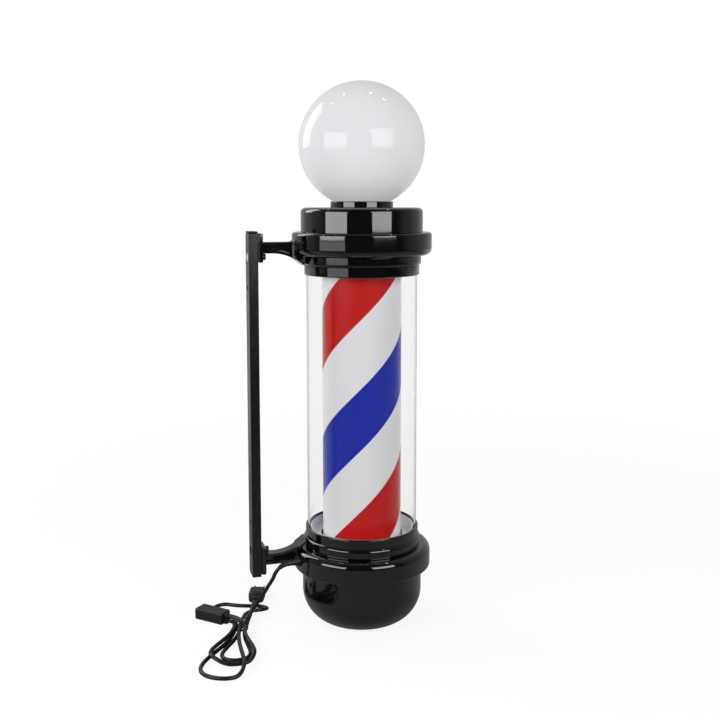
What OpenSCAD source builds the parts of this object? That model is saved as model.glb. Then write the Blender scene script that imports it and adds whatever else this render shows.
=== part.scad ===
// Barber pole with a ball lamp on top and a turning striped drum in a clear tube.
// It stands on its own foot or hangs on a wall by the flat bar behind it.
// Origin: middle of the foot, on the table. Z up, the wall lies towards +Y.

/* [Ball lamp] */
// Diameter of the opal ball
globe_d = 160; // [140:5:180]
// Wall of the ball
globe_wall = 2.5; // [2:0.5:4]
// Outer radius of the ball's neck
globe_neck_r = 36.8; // [32:0.2:38]
// Outer radius of the black gallery round the neck
gallery_r = 40; // [39:0.5:42]
// Height of the gallery
gallery_h = 8; // [7:0.5:10]
// Floor of the gallery
gallery_floor = 2.5; // [2:0.5:4]

/* [Cap and bowl] */
// Outer radius of the top cap and of the bowl
shell_r = 78; // [76.5:0.5:82]
// Wall of both shells
shell_wall = 2.5; // [2:0.5:4]
// Height of the top cap above its ring
cap_h = 31; // [26:1:40]
// Rounding of the top cap's upper edge
cap_round = 6; // [4:1:10]
// Height of the bowl under its ring
bowl_h = 75; // [70:1:85]
// Rounding from the bowl's side to its flat foot
bowl_round = 44; // [38:1:50]
// How far a shell's spigot goes into its ring
spigot_h = 3; // [2.5:0.5:5]

/* [Bracket rings] */
// How far a ring stands out from the shells
ring_out = 11.5; // [10:0.5:16]
// Height of a ring
ring_h = 29; // [27:1:34]
// Thickness of a ring's outer wall
ring_wall = 4; // [3:0.5:6]
// Thickness of a ring's two webs
web_t = 3.5; // [3:0.5:5]
// Rounding of a ring's edge next to the tube
ring_round = 8; // [5:1:9]
// Rounding of a ring's other edge
ring_edge = 3.5; // [2:0.5:5]

/* [Collars and tube] */
// Outer radius of the clear tube
tube_r = 71; // [69:0.5:71.5]
// Wall of the clear tube
tube_wall = 3; // [2:0.5:4]
// Length of tube that shows between the collars
tube_shown = 328; // [240:4:420]
// How far a collar's bead stands out from the tube
bead_out = 5; // [4.5:0.5:6]
// Height of a collar's bead
bead_h = 13; // [10:1:16]
// How far a collar's lip stands out from the tube
lip_out = 2.7; // [2:0.1:4]
// Height of a collar's lip
lip_h = 12; // [8:1:16]
// Thickness of a collar's ledge under the tube
ledge_t = 3; // [2:0.5:4]
// Thickness of the gaskets under and over the tube
gasket_t = 2; // [1:0.5:3]

/* [Turning drum] */
// Outer radius of the drum
drum_r = 51; // [46:1:52]
// Wall of the drum
drum_wall = 1.5; // [1:0.5:3]
// Height in which a stripe goes once round
stripe_pitch = 324; // [240:4:420]
// Height of the red stripe, measured upwards
red_h = 80; // [60:0.5:90]
// Height of the blue stripe, measured upwards
blue_h = 78.5; // [60:0.5:90]
// Teeth of the drum's gear
gear_teeth = 48; // [44:1:50]
// Teeth of the motor's pinion
pinion_teeth = 16; // [14:1:18]
// Size of the teeth: pitch diameter over tooth count
gear_module = 1.5; // [1.4:0.05:1.5]
// Outer radius of the fixed column that the drum turns on
column_r = 7; // [6:0.5:8]
// Bore radius of the column
column_bore = 4.5; // [3.5:0.5:5]
// Height of the motor
motor_h = 22; // [16:1:30]
// Thickness of the plate that carries the motor
plate_t = 2.5; // [2:0.5:4]

/* [Wall side] */
// Distance from the pole's axis to the wall
wall_y = 148; // [140:1:170]
// Thickness of the wall bar
bar_t = 12; // [10:1:16]
// Width of the wall bar
bar_w = 25; // [20:1:32]
// Wall of the bar, which is a tube
bar_wall = 1.5; // [1:0.5:2.5]
// How far the bar runs past the middle of each arm
bar_past = 18.5; // [18.5:0.5:40]
// Distance between the two wall screws
screw_gap = 300; // [200:10:320]
// Radius of a wall screw's hole
screw_hole_r = 3; // [2:0.5:3.5]
// Width of an arm
arm_w = 14; // [12:1:18]
// Height of an arm
arm_h = 14; // [12:1:16]
// Thickness of an arm's flanges
flange_t = 3.5; // [2:0.5:5]
// Thickness of an arm's web
arm_web = 6; // [4:1:8]
// Width of a pad
pad_w = 26; // [24:1:32]
// Height of a pad
pad_h = 36; // [34:1:44]
// Thickness of a pad
pad_t = 6; // [4:1:8]
// Radius of the bolts through the pads
bolt_r = 2.5; // [2:0.5:3]

/* [Lead] */
// Diameter of the lead
cord_d = 5; // [4:0.5:5]
// Length of the switch on the lead
switch_l = 44; // [40:1:60]
// Width of the switch
switch_w = 20; // [18:1:20]
// Height of the switch
switch_h = 15; // [15:1:18]
// Length of the plug's body
plug_l = 24; // [20:1:30]
// Width of the plug's body
plug_w = 21; // [18:1:26]
// Height of the plug's body
plug_h = 16; // [16:0.5:18]

/* [Hidden] */
$fn = 96;

black = "#1c1c1e";
white = "#efeff0";
steel = "#a8abb0";

// Clearances: fixed parts that slide together, parts that turn, and end faces
// of a turning part over a fixed one
fit = 0.2;
run = 0.05;
lift = 0.3;
eps = 0.01;

// Heights of the stack, from the foot up
ring_lo = bowl_h;
ring_hi = ring_lo + ring_h;
bead_hi = ring_hi + bead_h;
lip_hi = bead_hi + lip_h;
mid_z = lip_hi + tube_shown / 2;
seat_z = ring_hi + ledge_t;
tube_lo = seat_z + gasket_t;
cap_lo = 2 * mid_z - ring_lo;
cap_hi = cap_lo + cap_h;
globe_r = globe_d / 2;
neck_lo = cap_hi + gallery_floor;
globe_z = cap_hi + gallery_h + sqrt(globe_r * globe_r - globe_neck_r * globe_neck_r);

// Radii that follow from the shells and the tube
ring_r = shell_r + ring_out;
bead_r = tube_r + bead_out;
lip_r = tube_r + lip_out;
spigot_r = shell_r - shell_wall - fit;
socket_r = spigot_r + fit;
web_r = tube_r;
ledge_r = tube_r - 5;
tray_r = tube_r - tube_wall - 0.4;
tray_gap = 2.5;
tray_t = 2;
tray_wall = 1.6;
tray_below_lip = 1.5;
deck_gap = 1.5;

// Motor plate and what stands on it
plate_hi = ring_lo + spigot_h + plate_t;
plate_lo = plate_hi - plate_t;
gear_gap = (gear_teeth + pinion_teeth) * gear_module / 2;
motor_y = -gear_gap;
motor_r = spigot_r - shell_wall - lift - gear_gap;
gear_t = 6.5;
nut_h = 6.5;
nut_r = column_r + 4;
thrust_z = ring_hi + 1 - lift;
washer_t = 1.5;
bush_lo = thrust_z + lift;
flange_h = 2;
bush_wall = 3;
bush_r = column_r + bush_wall;
bush_flange_r = bush_r + 2;
gear_lo = bush_lo + flange_h;
gear_hub_r = 16;
deck_lo = gear_lo + gear_t + deck_gap;
drum_plate_gap = 2;
drum_plate_lo = gear_lo + gear_t + drum_plate_gap;
drum_plate_t = 2;
drum_lo = drum_plate_lo + drum_plate_t;
drum_hi = 2 * mid_z - drum_lo;
drum_h = drum_hi - drum_lo;

// Column: screwed into the bowl's boss, nut on the gallery's floor
boss_r = column_r + 6;
boss_h = 30;
column_lo = 13;
column_hi = neck_lo + nut_h + 1;
wire_r = column_bore - 0.5;
wire_z = plate_hi + nut_h + 6;

// Arms: middle height of the lower one, and the curve of its gusset
arm_mid = ring_lo + 18.5;
arm_lo = arm_mid - arm_h / 2;
arm_hi = arm_mid + arm_h / 2;
pad_y = wall_y - bar_t - pad_t;
arc_y = pad_y - 12;
arc_in = bead_r + 1;
arc_rise = bead_hi - arm_hi;
arc_run = arc_y - arc_in;
arc_r = (arc_run * arc_run + arc_rise * arc_rise) / (2 * arc_rise);
bolt_z = arm_hi + 4.5;
bolt_head_r = 4;
bolt_head_h = 5;
bar_nut_r = 4.6;
bar_lo = arm_mid - bar_past;
bar_h = 2 * (mid_z - bar_lo);

// Lead: the hank's own frame has u towards the loops and v across them, and
// lanes at the waist hold two layers of three strands in the tie.
cord_r = cord_d / 2;
hank_at = [-2, 163];
hank_turn = 164;
lane = 6.2;
floor_z = cord_r + 0.1;
over_z = floor_z + 5.9;
waist_lo = floor_z + 1.6;
waist_hi = waist_lo + 5.9;
gland_turn = 10;
gland_z = ring_lo + 15;
gland_out = ring_r + 8;
boot_l = 4;
plug_boot = 10;
cord_sides = 8;
loop_sides = 6;
loop_rings = 24;

// Hand-chosen points of the free lead, from the gland down to the tie
lead_points = [
  [-18.9, 108.6, 88.9], [-19.2, 115.4, 84.8], [-18.5, 120.1, 78.4], [-16.1, 122.5, 71.3],
  [-12.3, 124.9, 64.8], [-8.3, 127.6, 58.5], [-4.5, 129.9, 51.9], [-0.8, 132.7, 45.5],
  [2.8, 135.8, 39.1], [5.7, 139.1, 32.5], [8.8, 142.6, 26], [9.6, 147.4, 19.4],
  [6.2, 152.3, 13.6], [-0.3, 156, 10.4]
];
// Hand-chosen points between the hank's bends, in the hank's frame
near_points = [[-10, 0, waist_hi - 0.5], [-18, 0.6, waist_hi - 0.8]];
far_points = [[-74.6, 4, floor_z], [-75, -5, floor_z], [-76.2, -14, floor_z]];
inner_points = [
  [-46, -28, floor_z], [-40.5, -17, floor_z], [-34, -7.5, floor_z], [-24, -2, floor_z],
  [-12, -0.3, 3.2]
];
plug_points = [
  [-12, 6.6, 3.1], [-24, 6.8, 2.7], [-34, 7.2, 2.7], [-44, 7.8, 3.3], [-53, 8.4, 5.4],
  [-62, 9, 7.6], [-71, 9.5, 8.4], [-80, 9.9, 8.4]
];
switch_arc_at = [-7, -lane - 15];
switch_arc_r = 15;
switch_arc_end = 151;
return_at = [-24, 24.5];
return_r = 23;
fold_at = [-59.5, 13.5];
hidden_at = [-65, -29];
fold_r = 15;

function ease(a, b, t) =
  let (x = max(0, min(1, (t - a) / (b - a)))) x * x * (3 - 2 * x);
function in_row(p) = [
  hank_at.x + p.x * cos(hank_turn) - p.y * sin(hank_turn),
  hank_at.y + p.x * sin(hank_turn) + p.y * cos(hank_turn),
  p.z
];
function bend(at, r, from, to, z0, z1, n) =
  [for (i = [0:n]) let (a = from + (to - from) * i / n)
    [at.x + r * cos(a), at.y + r * sin(a), z0 + (z1 - z0) * ease(0, 0.8, i / n)]];
// One leaf-shaped loop, from its left lane round the bottom to its right lane
function leaf(long, wide_l, wide_r, lane_l, lane_r, z) =
  [for (i = [1:loop_rings - 1])
    let (
      t = i / loop_rings,
      w = (wide_l + wide_r) / 2 + (wide_l - wide_r) / 2 * cos(180 * t),
      s = sin(360 * t) * sin(180 * t) / 0.77
    )
    [long * sin(180 * t), lane_l + (lane_r - lane_l) * t - w * s, z[i]]];
// The run from the waist to the switch: an arc, then straight for one diameter
function switch_run(z) = concat(
  bend(switch_arc_at, switch_arc_r, 90, switch_arc_end, z, z, 5),
  [[
    switch_arc_at.x + switch_arc_r * cos(switch_arc_end) - cord_d * sin(switch_arc_end),
    switch_arc_at.y + switch_arc_r * sin(switch_arc_end) + cord_d * cos(switch_arc_end),
    z
  ]]
);
function reversed(p) = [for (i = [len(p) - 1:-1:0]) p[i]];

// Heights along each loop: which strand lies on which
outer_heights = [for (i = [0:loop_rings]) let (t = i / loop_rings)
  floor_z + (waist_lo - floor_z) * (1 - ease(0, 0.1, t))
  + (over_z - floor_z) * ease(0.57, 0.7, t) + (waist_hi - over_z) * ease(0.88, 1, t)];
middle_heights = [for (i = [0:loop_rings]) let (t = i / loop_rings)
  floor_z + (over_z - floor_z) * (1 - ease(0.37, 0.5, t) + ease(0.6, 0.72, t))
  + (waist_hi - over_z) * (1 - ease(0, 0.12, t) + ease(0.88, 1, t))];
inner_heights = [for (i = [0:loop_rings]) let (t = i / loop_rings)
  floor_z + (waist_lo - floor_z) * (1 - ease(0, 0.12, t) + ease(0.88, 1, t))];
outer_loop = leaf(134, 33, 16, -lane, 0, outer_heights);
middle_loop = leaf(98, 24, 24, -lane, lane, middle_heights);
inner_loop = leaf(88, 15, 16.5, 0, lane, inner_heights);

gland_way = [-sin(gland_turn), cos(gland_turn), 0];
lead_route = concat(
  [gland_way * gland_out + [0, 0, gland_z]],
  [gland_way * (gland_out + cord_d) + [0, 0, gland_z]],
  lead_points
);
to_switch_route = concat(
  lead_route,
  [in_row([0, lane, waist_hi])],
  [for (p = reversed(middle_loop)) in_row(p)],
  [in_row([0, -lane, waist_hi])],
  [for (p = switch_run(waist_hi)) in_row(p)]
);
to_plug_route = [for (p = concat(
  reversed(switch_run(waist_lo)),
  [[0, -lane, waist_lo]],
  outer_loop,
  [[0, 0, waist_hi]],
  near_points,
  bend(return_at, return_r, -85, -150, waist_hi - 0.9, waist_hi - 1, 5),
  bend(fold_at, fold_r, 26, 180, 9, floor_z, 8),
  far_points,
  bend(hidden_at, fold_r, 152, 331, floor_z, floor_z, 8),
  inner_points,
  [[0, 0, waist_lo]],
  inner_loop,
  [[0, lane, waist_lo]],
  plug_points
)) in_row(p)];
switch_end = to_plug_route[0];
switch_turn = hank_turn + switch_arc_end + 90;
plug_end = to_plug_route[len(to_plug_route) - 1];
plug_way = plug_end - to_plug_route[len(to_plug_route) - 2];
plug_turn = atan2(plug_way.y, plug_way.x);

// Least gap between strands, measured between points of both routes
function close_by(p, q, i, j) = abs(i - j) > 4 ? norm(p - q) : 99;
function least_gap(a, b, same) = min([for (i = [0:len(a) - 1]) min([for (j = [0:len(b) - 1])
  same ? close_by(a[i], b[j], i, j) : norm(a[i] - b[j])])]) - cord_d;
echo("least gap of the first run to itself", least_gap(to_switch_route, to_switch_route, true));
echo("least gap of the second run to itself", least_gap(to_plug_route, to_plug_route, true));
echo("least gap between the two runs", least_gap(to_switch_route, to_plug_route, false));

function unit(v) = v / norm(v);
// Vertices of the tube's rings: each ring is square to the route at its point
function ring_points(path, i, sides) =
  let (
    way = unit(path[min(i + 1, len(path) - 1)] - path[max(i - 1, 0)]),
    side = unit(cross(way, [0, 0, 1])),
    up = cross(side, way)
  )
  [for (k = [0:sides - 1]) let (a = 360 * (k + 0.5) / sides)
    path[i] + cord_r * (cos(a) * side + sin(a) * up)];

module tube_along(path, first, last, sides) {
  rings = last - first;
  points = [for (i = [first:last]) each ring_points(path, i, sides)];
  walls = [for (i = [0:rings - 1]) for (k = [0:sides - 1])
    let (a = i * sides + k, b = i * sides + (k + 1) % sides)
      each [[a, b, a + sides], [b, b + sides, a + sides]]];
  polyhedron(
    points,
    concat(
      [[for (k = [sides - 1:-1:0]) k]],
      walls,
      [[for (k = [0:sides - 1]) rings * sides + k]]
    ),
    convexity = 10
  );
}

// Outlines in radius and height, turned about the axis
module turned() rotate_extrude() intersection() {
  children();
  translate([0, -1000]) square([1000, 3000]);
}

module block(r0, r1, z0, z1) translate([r0, z0]) square([r1 - r0, z1 - z0]);

// A block whose outer edge is rounded at the top or at the bottom
module rounded_block(r0, r1, z0, z1, top = 0, bottom = 0) {
  block(r0, r1, z0 + bottom, z1 - top);
  if (top > 0) {
    block(r0, r1 - top, z1 - top - eps, z1);
    intersection() {
      translate([r1 - top, z1 - top]) circle(top);
      block(r0, r1 + 1, z1 - top - eps, z1 + 1);
    }
  }
  if (bottom > 0) {
    block(r0, r1 - bottom, z0, z0 + bottom + eps);
    intersection() {
      translate([r1 - bottom, z0 + bottom]) circle(bottom);
      block(r0, r1 + 1, z0 - 1, z0 + bottom + eps);
    }
  }
}

module ring(r0, r1, z0, z1) translate([0, 0, z0]) difference() {
  cylinder(r = r1, h = z1 - z0);
  translate([0, 0, -1]) cylinder(r = r0, h = z1 - z0 + 2);
}

// Turns a lower part over to make its upper twin
module turned_over() translate([0, 0, 2 * mid_z]) mirror([0, 0, 1]) children();

// Castings and shells

module base_cap() color(black) {
  turned() {
    difference() {
      rounded_block(0, shell_r, 0, ring_lo, bottom = bowl_round);
      rounded_block(-1, shell_r - shell_wall, shell_wall, ring_lo + 1,
        bottom = bowl_round - shell_wall);
    }
    block(spigot_r - shell_wall, spigot_r, ring_lo - 4, plate_lo);
    block(spigot_r - shell_wall, shell_r - 1, ring_lo - 4, ring_lo);
  }
  difference() {
    translate([0, 0, 1]) cylinder(r = boss_r, h = boss_h - 1);
    translate([0, 0, column_lo]) cylinder(r = column_r + run, h = boss_h);
  }
}

module bracket_ring() turned() difference() {
  rounded_block(web_r, ring_r, ring_lo, ring_hi, top = ring_round, bottom = ring_edge);
  block(0, socket_r, ring_lo - 1, plate_hi);
  block(0, ring_r - ring_wall, plate_hi + web_t, ring_hi - web_t);
}

module gusset_outline(inset) difference() {
  translate([arc_in - 2, arm_lo + inset]) square([pad_y + 3 - arc_in, bead_hi - arm_lo - inset]);
  translate([arc_y, arm_hi + arc_r]) circle(arc_r + inset + eps, $fn = 192);
  translate([arc_y, arm_hi - inset]) square([40, 60]);
}

module across(width) rotate([90, 0, 90]) translate([0, 0, -width / 2]) linear_extrude(width) children();

module arm() difference() {
  union() {
    across(arm_w) difference() {
      gusset_outline(0);
      gusset_outline(flange_t);
    }
    across(arm_web) gusset_outline(0);
  }
  cylinder(r = ring_r - ring_wall, h = ring_hi - 1);
  cylinder(r = bead_r + fit, h = bead_hi + 1);
}

module pad() difference() {
  translate([-pad_w / 2, pad_y, arm_mid - pad_h / 2]) cube([pad_w, pad_t, pad_h]);
  translate([0, pad_y - 1, bolt_z]) rotate([-90, 0, 0]) cylinder(r = bolt_r + run, h = pad_t + 2);
}

module bracket() {
  bracket_ring();
  arm();
  pad();
}

module lower_bracket() color(black) difference() {
  bracket();
  translate([0, 0, gland_z]) rotate([-90, 0, gland_turn])
    translate([0, 0, ring_r - 12]) cylinder(r = cord_r + 2 + run, h = 20);
}

module upper_bracket() color(black) turned_over() bracket();

module collar() turned() difference() {
  union() {
    block(ledge_r, web_r - fit, ring_hi - web_t, ring_hi + 1);
    rounded_block(ledge_r, bead_r, ring_hi, bead_hi, top = 4);
    rounded_block(ledge_r, lip_r, bead_hi - 1, lip_hi, top = 1.5);
  }
  block(0, tube_r + fit, seat_z, lip_hi + 1);
}

module lower_collar() color(black) collar();

module upper_collar() color(black) turned_over() collar();

module gasket() ring(tube_r - tube_wall, tube_r, seat_z, tube_lo);

module lower_gasket() color("#303032") gasket();

module upper_gasket() color("#303032") turned_over() gasket();

module outer_tube() color("#dfe6ea", 0.35)
  ring(tube_r - tube_wall, tube_r, tube_lo, 2 * mid_z - tube_lo);

// White liner inside the tube's end, with a deck over the drive round the drum
module tray() turned() {
  block(tray_r - tray_wall, tray_r, seat_z, lip_hi - tray_below_lip);
  block(drum_r + tray_gap, tray_r, deck_lo, deck_lo + tray_t);
}

module lower_tray() color(white) tray();

module upper_tray() color(white) turned_over() tray();

module top_cap() color(black) turned() difference() {
  union() {
    difference() {
      rounded_block(0, shell_r, cap_lo, cap_hi, top = cap_round);
      rounded_block(-1, shell_r - shell_wall, cap_lo - 1, cap_hi - shell_wall,
        top = cap_round - shell_wall);
    }
    block(spigot_r - shell_wall, spigot_r, cap_lo - spigot_h, cap_lo + 4);
    block(spigot_r - shell_wall, shell_r - 1, cap_lo, cap_lo + 4);
  }
  block(0, column_r + run, 0, cap_hi + 1);
}

module globe_gallery() color(black) turned() difference() {
  rounded_block(0, gallery_r, cap_hi, cap_hi + gallery_h, top = 1);
  block(0, globe_neck_r + fit, neck_lo, cap_hi + gallery_h + 1);
  block(0, column_r + run, cap_hi - 1, neck_lo + 1);
}

module globe() color("#f4f3f6") turned() difference() {
  union() {
    translate([0, globe_z]) circle(globe_r, $fn = 192);
    block(0, globe_neck_r, neck_lo, globe_z);
  }
  translate([0, globe_z]) circle(globe_r - globe_wall, $fn = 192);
  block(-1, globe_neck_r - globe_wall, cap_lo, globe_z);
}

// Wall side

module wall_bar() color(black) difference() {
  translate([-bar_w / 2, wall_y - bar_t, bar_lo]) cube([bar_w, bar_t, bar_h]);
  translate([-bar_w / 2 + bar_wall, wall_y - bar_t + bar_wall, bar_lo - 1])
    cube([bar_w - 2 * bar_wall, bar_t - 2 * bar_wall, bar_h + 2]);
  for (z = [bolt_z, 2 * mid_z - bolt_z]) translate([0, 0, z]) {
    translate([0, wall_y - bar_t - 1, 0]) rotate([-90, 0, 0])
      cylinder(r = bolt_r + run, h = bar_t / 2);
    translate([0, wall_y - bar_t / 2, 0]) rotate([-90, 0, 0])
      cylinder(r = bar_nut_r + 1, h = bar_t);
  }
  for (side = [-1, 1]) translate([0, 0, mid_z + side * screw_gap / 2]) {
    translate([0, wall_y - bar_t - 1, 0]) rotate([-90, 0, 0])
      cylinder(r = 2 * screw_hole_r, h = bar_t / 2);
    translate([0, wall_y - bar_t / 2, 0]) rotate([-90, 0, 0])
      cylinder(r = screw_hole_r, h = bar_t);
  }
}

module bar_end_cap() {
  translate([-bar_w / 2, wall_y - bar_t, bar_lo - 2]) cube([bar_w, bar_t, 2]);
  translate([-bar_w / 2 + bar_wall + fit, wall_y - bar_t + bar_wall + fit, bar_lo - 1])
    cube([bar_w - 2 * bar_wall - 2 * fit, bar_t - 2 * bar_wall - 2 * fit, 7]);
}

module bar_end_caps() color(black) {
  bar_end_cap();
  turned_over() bar_end_cap();
}

module bar_bolt() translate([0, 0, bolt_z]) rotate([-90, 0, 0]) {
  difference() {
    translate([0, 0, pad_y - bolt_head_h]) cylinder(r = bolt_head_r, h = bolt_head_h);
    translate([0, 0, pad_y - bolt_head_h - 1]) cylinder(r = 2.2, h = 3.5, $fn = 6);
  }
  translate([0, 0, pad_y - 1]) cylinder(r = bolt_r, h = pad_t + 1 + bar_wall + 4.5);
}

module bar_bolts() color(black) {
  bar_bolt();
  turned_over() bar_bolt();
}

module bar_nut() translate([0, wall_y - bar_t + bar_wall, bolt_z]) rotate([-90, 0, 0])
  difference() {
    cylinder(r = bar_nut_r, h = 4, $fn = 6);
    translate([0, 0, -1]) cylinder(r = bolt_r + run, h = 6);
  }

module bar_nuts() color(steel) {
  bar_nut();
  turned_over() bar_nut();
}

// Column and what it carries

module column() color(steel) difference() {
  translate([0, 0, column_lo]) cylinder(r = column_r, h = column_hi - column_lo);
  translate([0, 0, column_lo - 1]) cylinder(r = column_bore, h = column_hi - column_lo + 2);
  translate([0, 0, wire_z]) rotate([0, 90, 0]) cylinder(r = 2.5, h = column_r + 1);
}

module hex_nut(z) translate([0, 0, z]) difference() {
  cylinder(r = nut_r, h = nut_h, $fn = 6);
  translate([0, 0, -1]) cylinder(r = column_r + run, h = nut_h + 2);
}

module column_nuts() color(steel) {
  hex_nut(plate_lo - nut_h);
  hex_nut(plate_hi);
  hex_nut(thrust_z - washer_t - nut_h);
  hex_nut(neck_lo);
}

module thrust_washer() color("#c9a45c")
  ring(column_r + run, bush_flange_r, thrust_z - washer_t, thrust_z);

module upper_bush_outline() {
  block(column_r + run, bush_r, drum_hi - drum_plate_t - flange_h, drum_hi + drum_plate_t + 2);
  block(column_r + run, bush_flange_r, drum_hi - drum_plate_t - flange_h, drum_hi - drum_plate_t);
}

module upper_bush() color(white) turned() upper_bush_outline();

module retaining_collar() color(steel)
  ring(column_r + run, bush_flange_r, drum_hi + drum_plate_t + 2 + lift, drum_hi + drum_plate_t + 10);

module lower_bush() color(white) turned() {
  block(column_r + run, bush_r, bush_lo, drum_lo + drum_plate_t);
  block(column_r + run, bush_flange_r, bush_lo, gear_lo);
}

// Drive

shaft_r = 3;
motor_boss_r = 7;
motor_boss_past = 5;
ear_past = 10;
ear_w = 10;
ear_t = 2;
motor_screw_r = 2;
motor_screw_x = motor_r + 5.5;
screw_head_r = 3.5;
screw_head_h = 2.5;
screw_nut_h = 3;

module motor_plate() color(steel) difference() {
  translate([0, 0, plate_lo]) cylinder(r = spigot_r, h = plate_t);
  translate([0, 0, plate_lo - 1]) cylinder(r = column_r + run, h = plate_t + 2);
  translate([0, motor_y, plate_lo - 1]) cylinder(r = motor_boss_r + fit, h = plate_t + 2);
  for (side = [-1, 1]) translate([side * motor_screw_x, motor_y, plate_lo - 1])
    cylinder(r = motor_screw_r + run, h = plate_t + 2);
}

module motor_body() color(steel) difference() {
  union() {
    translate([0, motor_y, plate_lo - motor_h]) cylinder(r = motor_r, h = motor_h - ear_t);
    translate([0, motor_y, plate_lo - 3]) cylinder(r = motor_r - 3, h = 3);
    translate([-motor_r - ear_past, motor_y - ear_w / 2, plate_lo - ear_t])
      cube([2 * (motor_r + ear_past), ear_w, ear_t]);
    translate([0, motor_y, plate_lo - 1]) cylinder(r = motor_boss_r, h = plate_t + motor_boss_past + 1);
  }
  translate([0, motor_y, plate_lo]) cylinder(r = shaft_r + run, h = plate_t + motor_boss_past + 3);
  for (side = [-1, 1]) translate([side * motor_screw_x, motor_y, plate_lo - ear_t - 1])
    cylinder(r = motor_screw_r + run, h = ear_t + 2);
}

module motor_screws() color(steel) for (side = [-1, 1])
  translate([side * motor_screw_x, motor_y, plate_lo - ear_t - screw_nut_h]) {
    cylinder(r = motor_screw_r, h = plate_t + ear_t + screw_nut_h);
    cylinder(r = screw_head_r, h = screw_nut_h, $fn = 6);
    translate([0, 0, plate_t + ear_t + screw_nut_h]) cylinder(r = screw_head_r, h = screw_head_h);
  }

module motor_shaft() color(steel)
  translate([0, motor_y, plate_lo + 1]) cylinder(r = shaft_r, h = gear_lo + gear_t + 0.5 - plate_lo - 1);

// Teeth with straight flanks, thinned so that the pair never binds
module spur(teeth, height, phase) linear_extrude(height) {
  pitch_r = teeth * gear_module / 2;
  root_r = pitch_r - 1.25 * gear_module;
  tip_r = pitch_r + 0.9 * gear_module;
  root_w = 0.62 * PI * gear_module;
  tip_w = 0.22 * PI * gear_module;
  circle(root_r);
  for (k = [0:teeth - 1]) rotate(phase + 360 * k / teeth)
    polygon([[root_r - 1, -root_w / 2], [tip_r, -tip_w / 2], [tip_r, tip_w / 2],
      [root_r - 1, root_w / 2]]);
}

module drive_gear() color("#e8dfc8") difference() {
  union() {
    translate([0, 0, gear_lo]) spur(gear_teeth, gear_t, -90);
    translate([0, 0, gear_lo]) cylinder(r = gear_hub_r, h = gear_t + drum_plate_gap);
  }
  translate([0, 0, gear_lo - 1]) cylinder(r = bush_r + run, h = gear_t + 4);
  for (a = [30:60:330]) rotate(a) translate([24, 0, gear_lo - 1]) cylinder(r = 5, h = gear_t + 4);
}

module pinion() color("#e8dfc8") translate([0, motor_y, gear_lo - 0.5]) difference() {
  spur(pinion_teeth, gear_t + 1, 90 + 180 / pinion_teeth);
  translate([0, 0, -1]) cylinder(r = shaft_r + run, h = gear_t + 4);
}

// Drum

module drum_plate(z0, z1, z2) difference() {
  union() {
    translate([0, 0, min(z0, z1)]) cylinder(r = drum_r, h = abs(z1 - z0));
    translate([0, 0, min(z1, z2)]) cylinder(r = drum_r - drum_wall - run, h = abs(z2 - z1));
  }
  translate([0, 0, min(z0, z2) - 1]) cylinder(r = bush_r + run, h = abs(z2 - z0) + 2);
}

module drum_lower_plate() color(white)
  drum_plate(drum_plate_lo, drum_lo, drum_lo + drum_plate_t);

module drum_upper_plate() color(white)
  drum_plate(drum_hi + drum_plate_t, drum_hi, drum_hi - drum_plate_t);

module drum() color(white) ring(drum_r - drum_wall, drum_r, drum_lo, drum_hi);

// A film band wound on the drum. low is its lower edge on the line that faces
// the camera in the photograph.
stripe_turn = 164;
red_low = 404.2;
blue_low = 239;
film_t = 0.4;
film_gap = 0.6;
film_steps = 10;
film_slices = 48;

module stripe(low, high) {
  first = stripe_turn + (drum_lo - low - high) * 360 / stripe_pitch;
  sweep = high * 360 / stripe_pitch;
  inner = drum_r + film_gap;
  outer = inner + film_t;
  translate([0, 0, drum_lo])
    linear_extrude(drum_h, twist = -360 * drum_h / stripe_pitch, slices = film_slices,
      $fn = 2 * film_steps + 2)
      polygon(concat(
        [for (i = [0:film_steps]) let (a = first + sweep * i / film_steps)
          [inner * cos(a), inner * sin(a)]],
        [for (i = [film_steps:-1:0]) let (a = first + sweep * i / film_steps)
          [outer * cos(a), outer * sin(a)]]
      ));
}

module red_stripe() color("#b3191a") stripe(red_low, red_h);

module blue_stripe() color("#24359c") stripe(blue_low, blue_h);

// Lamps and wiring

carrier_w = 22;
carrier_end_gap = 20;
carrier_lo = lip_hi + carrier_end_gap;
carrier_h = tube_shown - 2 * carrier_end_gap;
strip_w = 12;
strip_t = 1.6;
strip_end_gap = 2;
chips = 12;
chip = 5;
chip_t = 1;
chip_end_gap = 12;
chip_step = (carrier_h - 2 * chip_end_gap - chip) / (chips - 1);

module lamp_carrier() color("#c8cacc") difference() {
  translate([-carrier_w / 2, -carrier_w / 2, carrier_lo]) cube([carrier_w, carrier_w, carrier_h]);
  translate([0, 0, carrier_lo - 1]) cylinder(r = column_r + run, h = carrier_h + 2);
}

module lamp_strips() color("#f2efe0") for (a = [0:90:270]) rotate(a) {
  translate([carrier_w / 2, -strip_w / 2, carrier_lo + strip_end_gap])
    cube([strip_t, strip_w, carrier_h - 2 * strip_end_gap]);
  for (k = [0:chips - 1])
    translate([carrier_w / 2 + strip_t - eps, -chip / 2, carrier_lo + chip_end_gap + k * chip_step])
      cube([chip_t, chip, chip]);
}

holder_r = 17;
holder_lo = neck_lo + nut_h;
holder_h = 32;
socket_depth = 22;

module lamp_holder() color("#26262a") turned() difference() {
  rounded_block(0, holder_r, holder_lo, holder_lo + holder_h, top = 2);
  block(0, 13.5, holder_lo + holder_h - socket_depth, holder_lo + holder_h + 1);
  block(0, column_r + run, holder_lo - 1, column_hi + eps);
}

bulb_r = 28;
bulb_z = holder_lo + holder_h + 38;

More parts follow.
